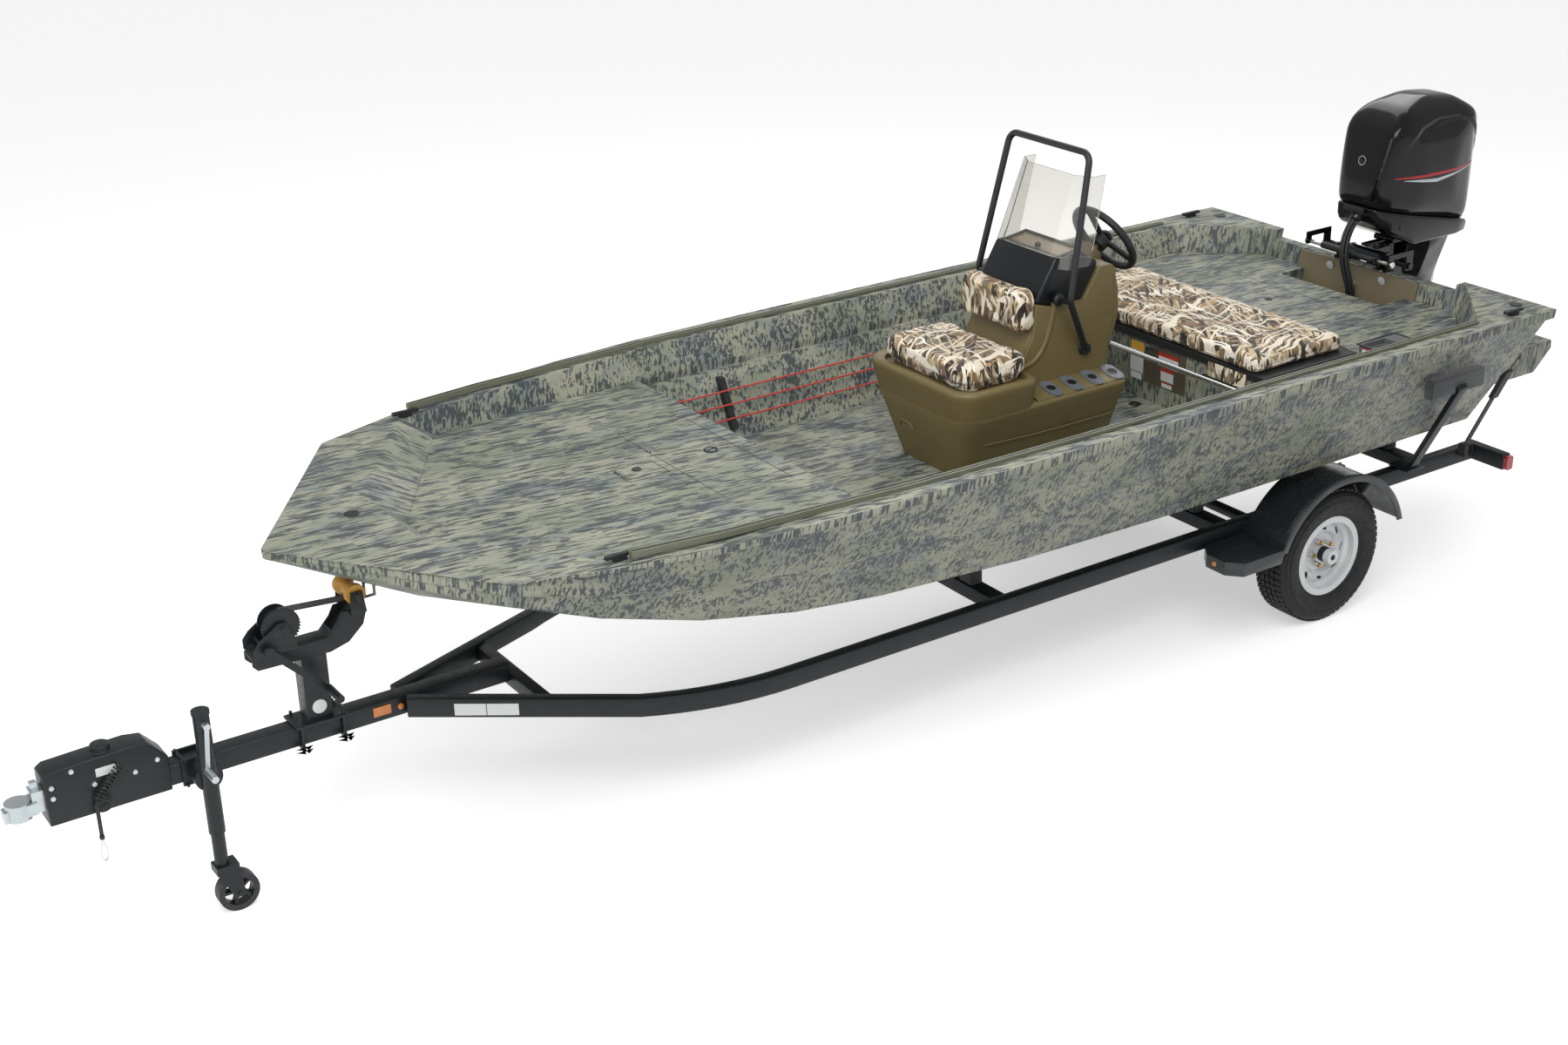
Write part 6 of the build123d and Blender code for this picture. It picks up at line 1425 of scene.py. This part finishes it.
def make_trailer():
    """Paint and carpet of the trailer, its reflectors, ridges, blank labels and bolts."""
    for name, node, width in FRAME_PARTS:
        softened(name, node, "frame_paint", width, 2, 35.0, 38.0)
    softened("mudguards", "fenders", "guard_paint", 0.002, 2, 35.0, 38.0)
    dress("frame_paint", "axle", "jack_bracket", "jack_tube", "jack_fork", "winch_drum", "winch_crank")
    softened("bunk_carpet", "bunks", "carpet_pile", 0.006, 2, 40.0, 40.0)
    softened("pad_carpet", "guide_pads", "carpet_pile", 0.006, 2, 40.0, 40.0)
    dress("red_lens", "tail_lamps")
    softened("side_straps", "tie_downs", "webbing", 0.001, 1, 40.0, 30.0)
    softened("bow_strap", "winch_strap", "webbing", 0.001, 1, 40.0, 30.0)
    dress("zinc_plate", "coupler", "jack_crank")
    dress("black_moulding", "jack_wheel")
    dress("roller_rubber", "bow_roller")
    lamps = Mould()
    lamps.add(soft_box(at(322, 38.2, 534), at(392, 42.0, 572), 0.004), 0)
    for place, axis in ((at(431, 38.2, 548), (0, 1, 0)), (at(3882, 738, 436), (1, 0.35, 0))):
        lamps.add(lathe([(0.1, -3), (12, -3), (12, 4), (8, 7), (0.1, 8)], place, axis, 24))
    piece("side_reflectors", lamps.mesh("side_reflectors", ("amber_lens",)), None, ROOT, (), 40)
    ridges = Mould()
    for sign in (-1, 1):
        for radius, y, thick in GUARD_RIDGES:
            arc = []
            for k in range(GUARD_STEPS + 1):
                angle = radians(GUARD_START + GUARD_SWEEP * k / GUARD_STEPS)
                arc.append(at(AXLE_S - radius * cos(angle), sign * y, TYRE_R + radius * sin(angle)))
            ridges.add(tube(arc, thick / 1000, 10))
    piece("mudguard_ridges", ridges.mesh("mudguard_ridges"), "guard_paint", ROOT, (), 60)
    papers = Mould()
    for s0, s1 in ((592, 694), (697, 800)):
        rings = []
        for lift in (0.3, 1.3):
            rings.append([rail_face(s, up, lift) for s, up in ((s0, -30), (s1, -30), (s1, 18), (s0, 18))])
        papers.add(skin(rings))
    papers.add(lathe([(0.1, -1), (27, -1), (27, 1.2), (0.1, 1.4)], at(124, 38.4, 646), (0, 1, 0), 36))
    papers.add(soft_box(at(-690, 52.2, 640), at(-620, 53.4, 672), 0.0004, 1))
    piece("frame_labels", papers.mesh("frame_labels"), "label_white", ROOT, (), 30)
    bolts = Mould()
    for station, z in ((-842, 610), (-842, 650), (-700, 618), (-560, 618), (-480, 640), (-770, 690)):
        for sign in (-1, 1):
            bolts.add(lathe([(0.1, -2), (11, -2), (11, 1.5), (9, 6.5), (0.1, 7)],
                            at(station, sign * 52, z), (0, sign, 0), 6))
    piece("actuator_bolts", bolts.mesh("actuator_bolts"), "zinc_plate", ROOT, (), 30)


CABLE_Y, HOOK_S = 72, -709
CABLE_R, LOOP_R, COIL_R = 0.0034, 0.003, 0.012
COIL_TURNS, COIL_SIDES, LOOP_SIDES = 11, 10, 24


def make_safety_cable():
    """Coiled cable of the brake's safety switch, at rest with its loop, strap and snap hook."""
    form = Mould()
    start, end = at(-612, 70, 672), at(-708, CABLE_Y, 566)
    axis = end - start
    across, other = frame_of(axis.normalized())
    coil = []
    for k in range(COIL_TURNS * COIL_SIDES + 1):
        angle = 2 * pi * k / COIL_SIDES
        coil.append(start + axis * k / (COIL_TURNS * COIL_SIDES)
                    + (across * cos(angle) + other * sin(angle)) * COIL_R)
    form.add(tube(coil, CABLE_R, 6))
    angles = [2 * pi * k / LOOP_SIDES for k in range(LOOP_SIDES)]
    for wide, tall, low in ((30, 27, 540), (25, 22, 536)):
        loop = [at(-684 + wide * cos(a), CABLE_Y + 4 * sin(a), low + tall * sin(a)) for a in angles]
        form.add(tube(loop, LOOP_R, 8, True))
    form.add(soft_box(at(-716, CABLE_Y - 3, 430), at(-702, CABLE_Y + 3, 548), 0.002))
    form.add(lathe([(0.1, -6), (9, -6), (9, 6), (0.1, 6)], at(HOOK_S, CABLE_Y, 420), (0, 0, 1), 16))
    hook = [at(HOOK_S + (11 - 3 * sin(a)) * cos(a), CABLE_Y, 362 + 34 * sin(a)) for a in angles]
    form.add(tube(hook, CABLE_R, 8, True), 1)
    form.add(lathe([(0.1, -10), (5, -10), (5, 10), (0.1, 10)], at(HOOK_S, CABLE_Y, 404), (0, 0, 1), 12), 1)
    piece("safety_cable", form.mesh("safety_cable", ("hose_rubber", "bright_metal")), None, ROOT,
          (), 40)


# Panel and operators

class StageOperator(Operator):
    """Sets the camera, the pale floor and the soft lights"""
    bl_idname = "boat.stage"
    bl_label = "Stage"

    def execute(self, context):
        stage_camera()
        stage_floor()
        stage_lights()
        return {"FINISHED"}


class HoseOperator(Operator):
    """Lays the bundle of hoses from the motor into the well"""
    bl_idname = "boat.hose"
    bl_label = "Rigging hose"

    def execute(self, context):
        make_hose()
        return {"FINISHED"}


class HullOperator(Operator):
    """Prints the hull and its decks"""
    bl_idname = "boat.hull"
    bl_label = "Hull and decks"

    def execute(self, context):
        make_hull()
        make_lid_seam_shade()
        make_deck_fittings()
        return {"FINISHED"}


class SeatOperator(Operator):
    """Swells and covers the seat pads"""
    bl_idname = "boat.seats"
    bl_label = "Seats"

    def execute(self, context):
        make_pads()
        make_bench_front()
        make_port_tray()
        make_transom_washers()
        return {"FINISHED"}


class ConsoleOperator(Operator):
    """Moulds the console with its pod, screen and rail"""
    bl_idname = "boat.console"
    bl_label = "Console"

    def execute(self, context):
        make_console()
        make_ledges()
        make_dash()
        make_grab_rail()
        make_helm()
        return {"FINISHED"}


class MotorOperator(Operator):
    """Shapes the outboard motor and its steering ram"""
    bl_idname = "boat.motor"
    bl_label = "Motor"

    def execute(self, context):
        make_cowl()
        make_motor()
        return {"FINISHED"}


class WheelOperator(Operator):
    """Fits the tyres, wheels and nuts"""
    bl_idname = "boat.wheels"
    bl_label = "Wheels"

    def execute(self, context):
        make_wheels()
        return {"FINISHED"}


class TrailerOperator(Operator):
    """Coats the trailer and adds its fittings"""
    bl_idname = "boat.trailer"
    bl_label = "Trailer"

    def execute(self, context):
        make_trailer()
        make_safety_cable()
        return {"FINISHED"}


OPERATORS = (StageOperator, HoseOperator, HullOperator, SeatOperator, ConsoleOperator, MotorOperator,
             WheelOperator, TrailerOperator)


class BoatPanel(Panel):
    """Buttons that make the boat's pieces, with its colours and sizes"""
    bl_idname = "VIEW3D_PT_boat"
    bl_label = "Jon boat"
    bl_space_type = "VIEW_3D"
    bl_region_type = "UI"
    bl_category = "Boat"

    def draw(self, context):
        for operator in OPERATORS:
            self.layout.operator(operator.bl_idname)
        for group in (context.scene.boat_paint, context.scene.boat_sizes):
            for key in group.__annotations__:
                self.layout.prop(group, key)


CLASSES = (BoatPaint, BoatSizes, *OPERATORS, BoatPanel)


def register():
    for made in CLASSES:
        bpy.utils.register_class(made)
    bpy.types.Scene.boat_paint = PointerProperty(type=BoatPaint)
    bpy.types.Scene.boat_sizes = PointerProperty(type=BoatSizes)


def unregister():
    del bpy.types.Scene.boat_paint
    del bpy.types.Scene.boat_sizes
    for made in reversed(CLASSES):
        bpy.utils.unregister_class(made)


def main():
    register()
    for name in ("stage", "hose", "hull", "seats", "console", "motor", "wheels", "trailer"):
        getattr(bpy.ops.boat, name)()


if __name__ == "__main__":
    main()
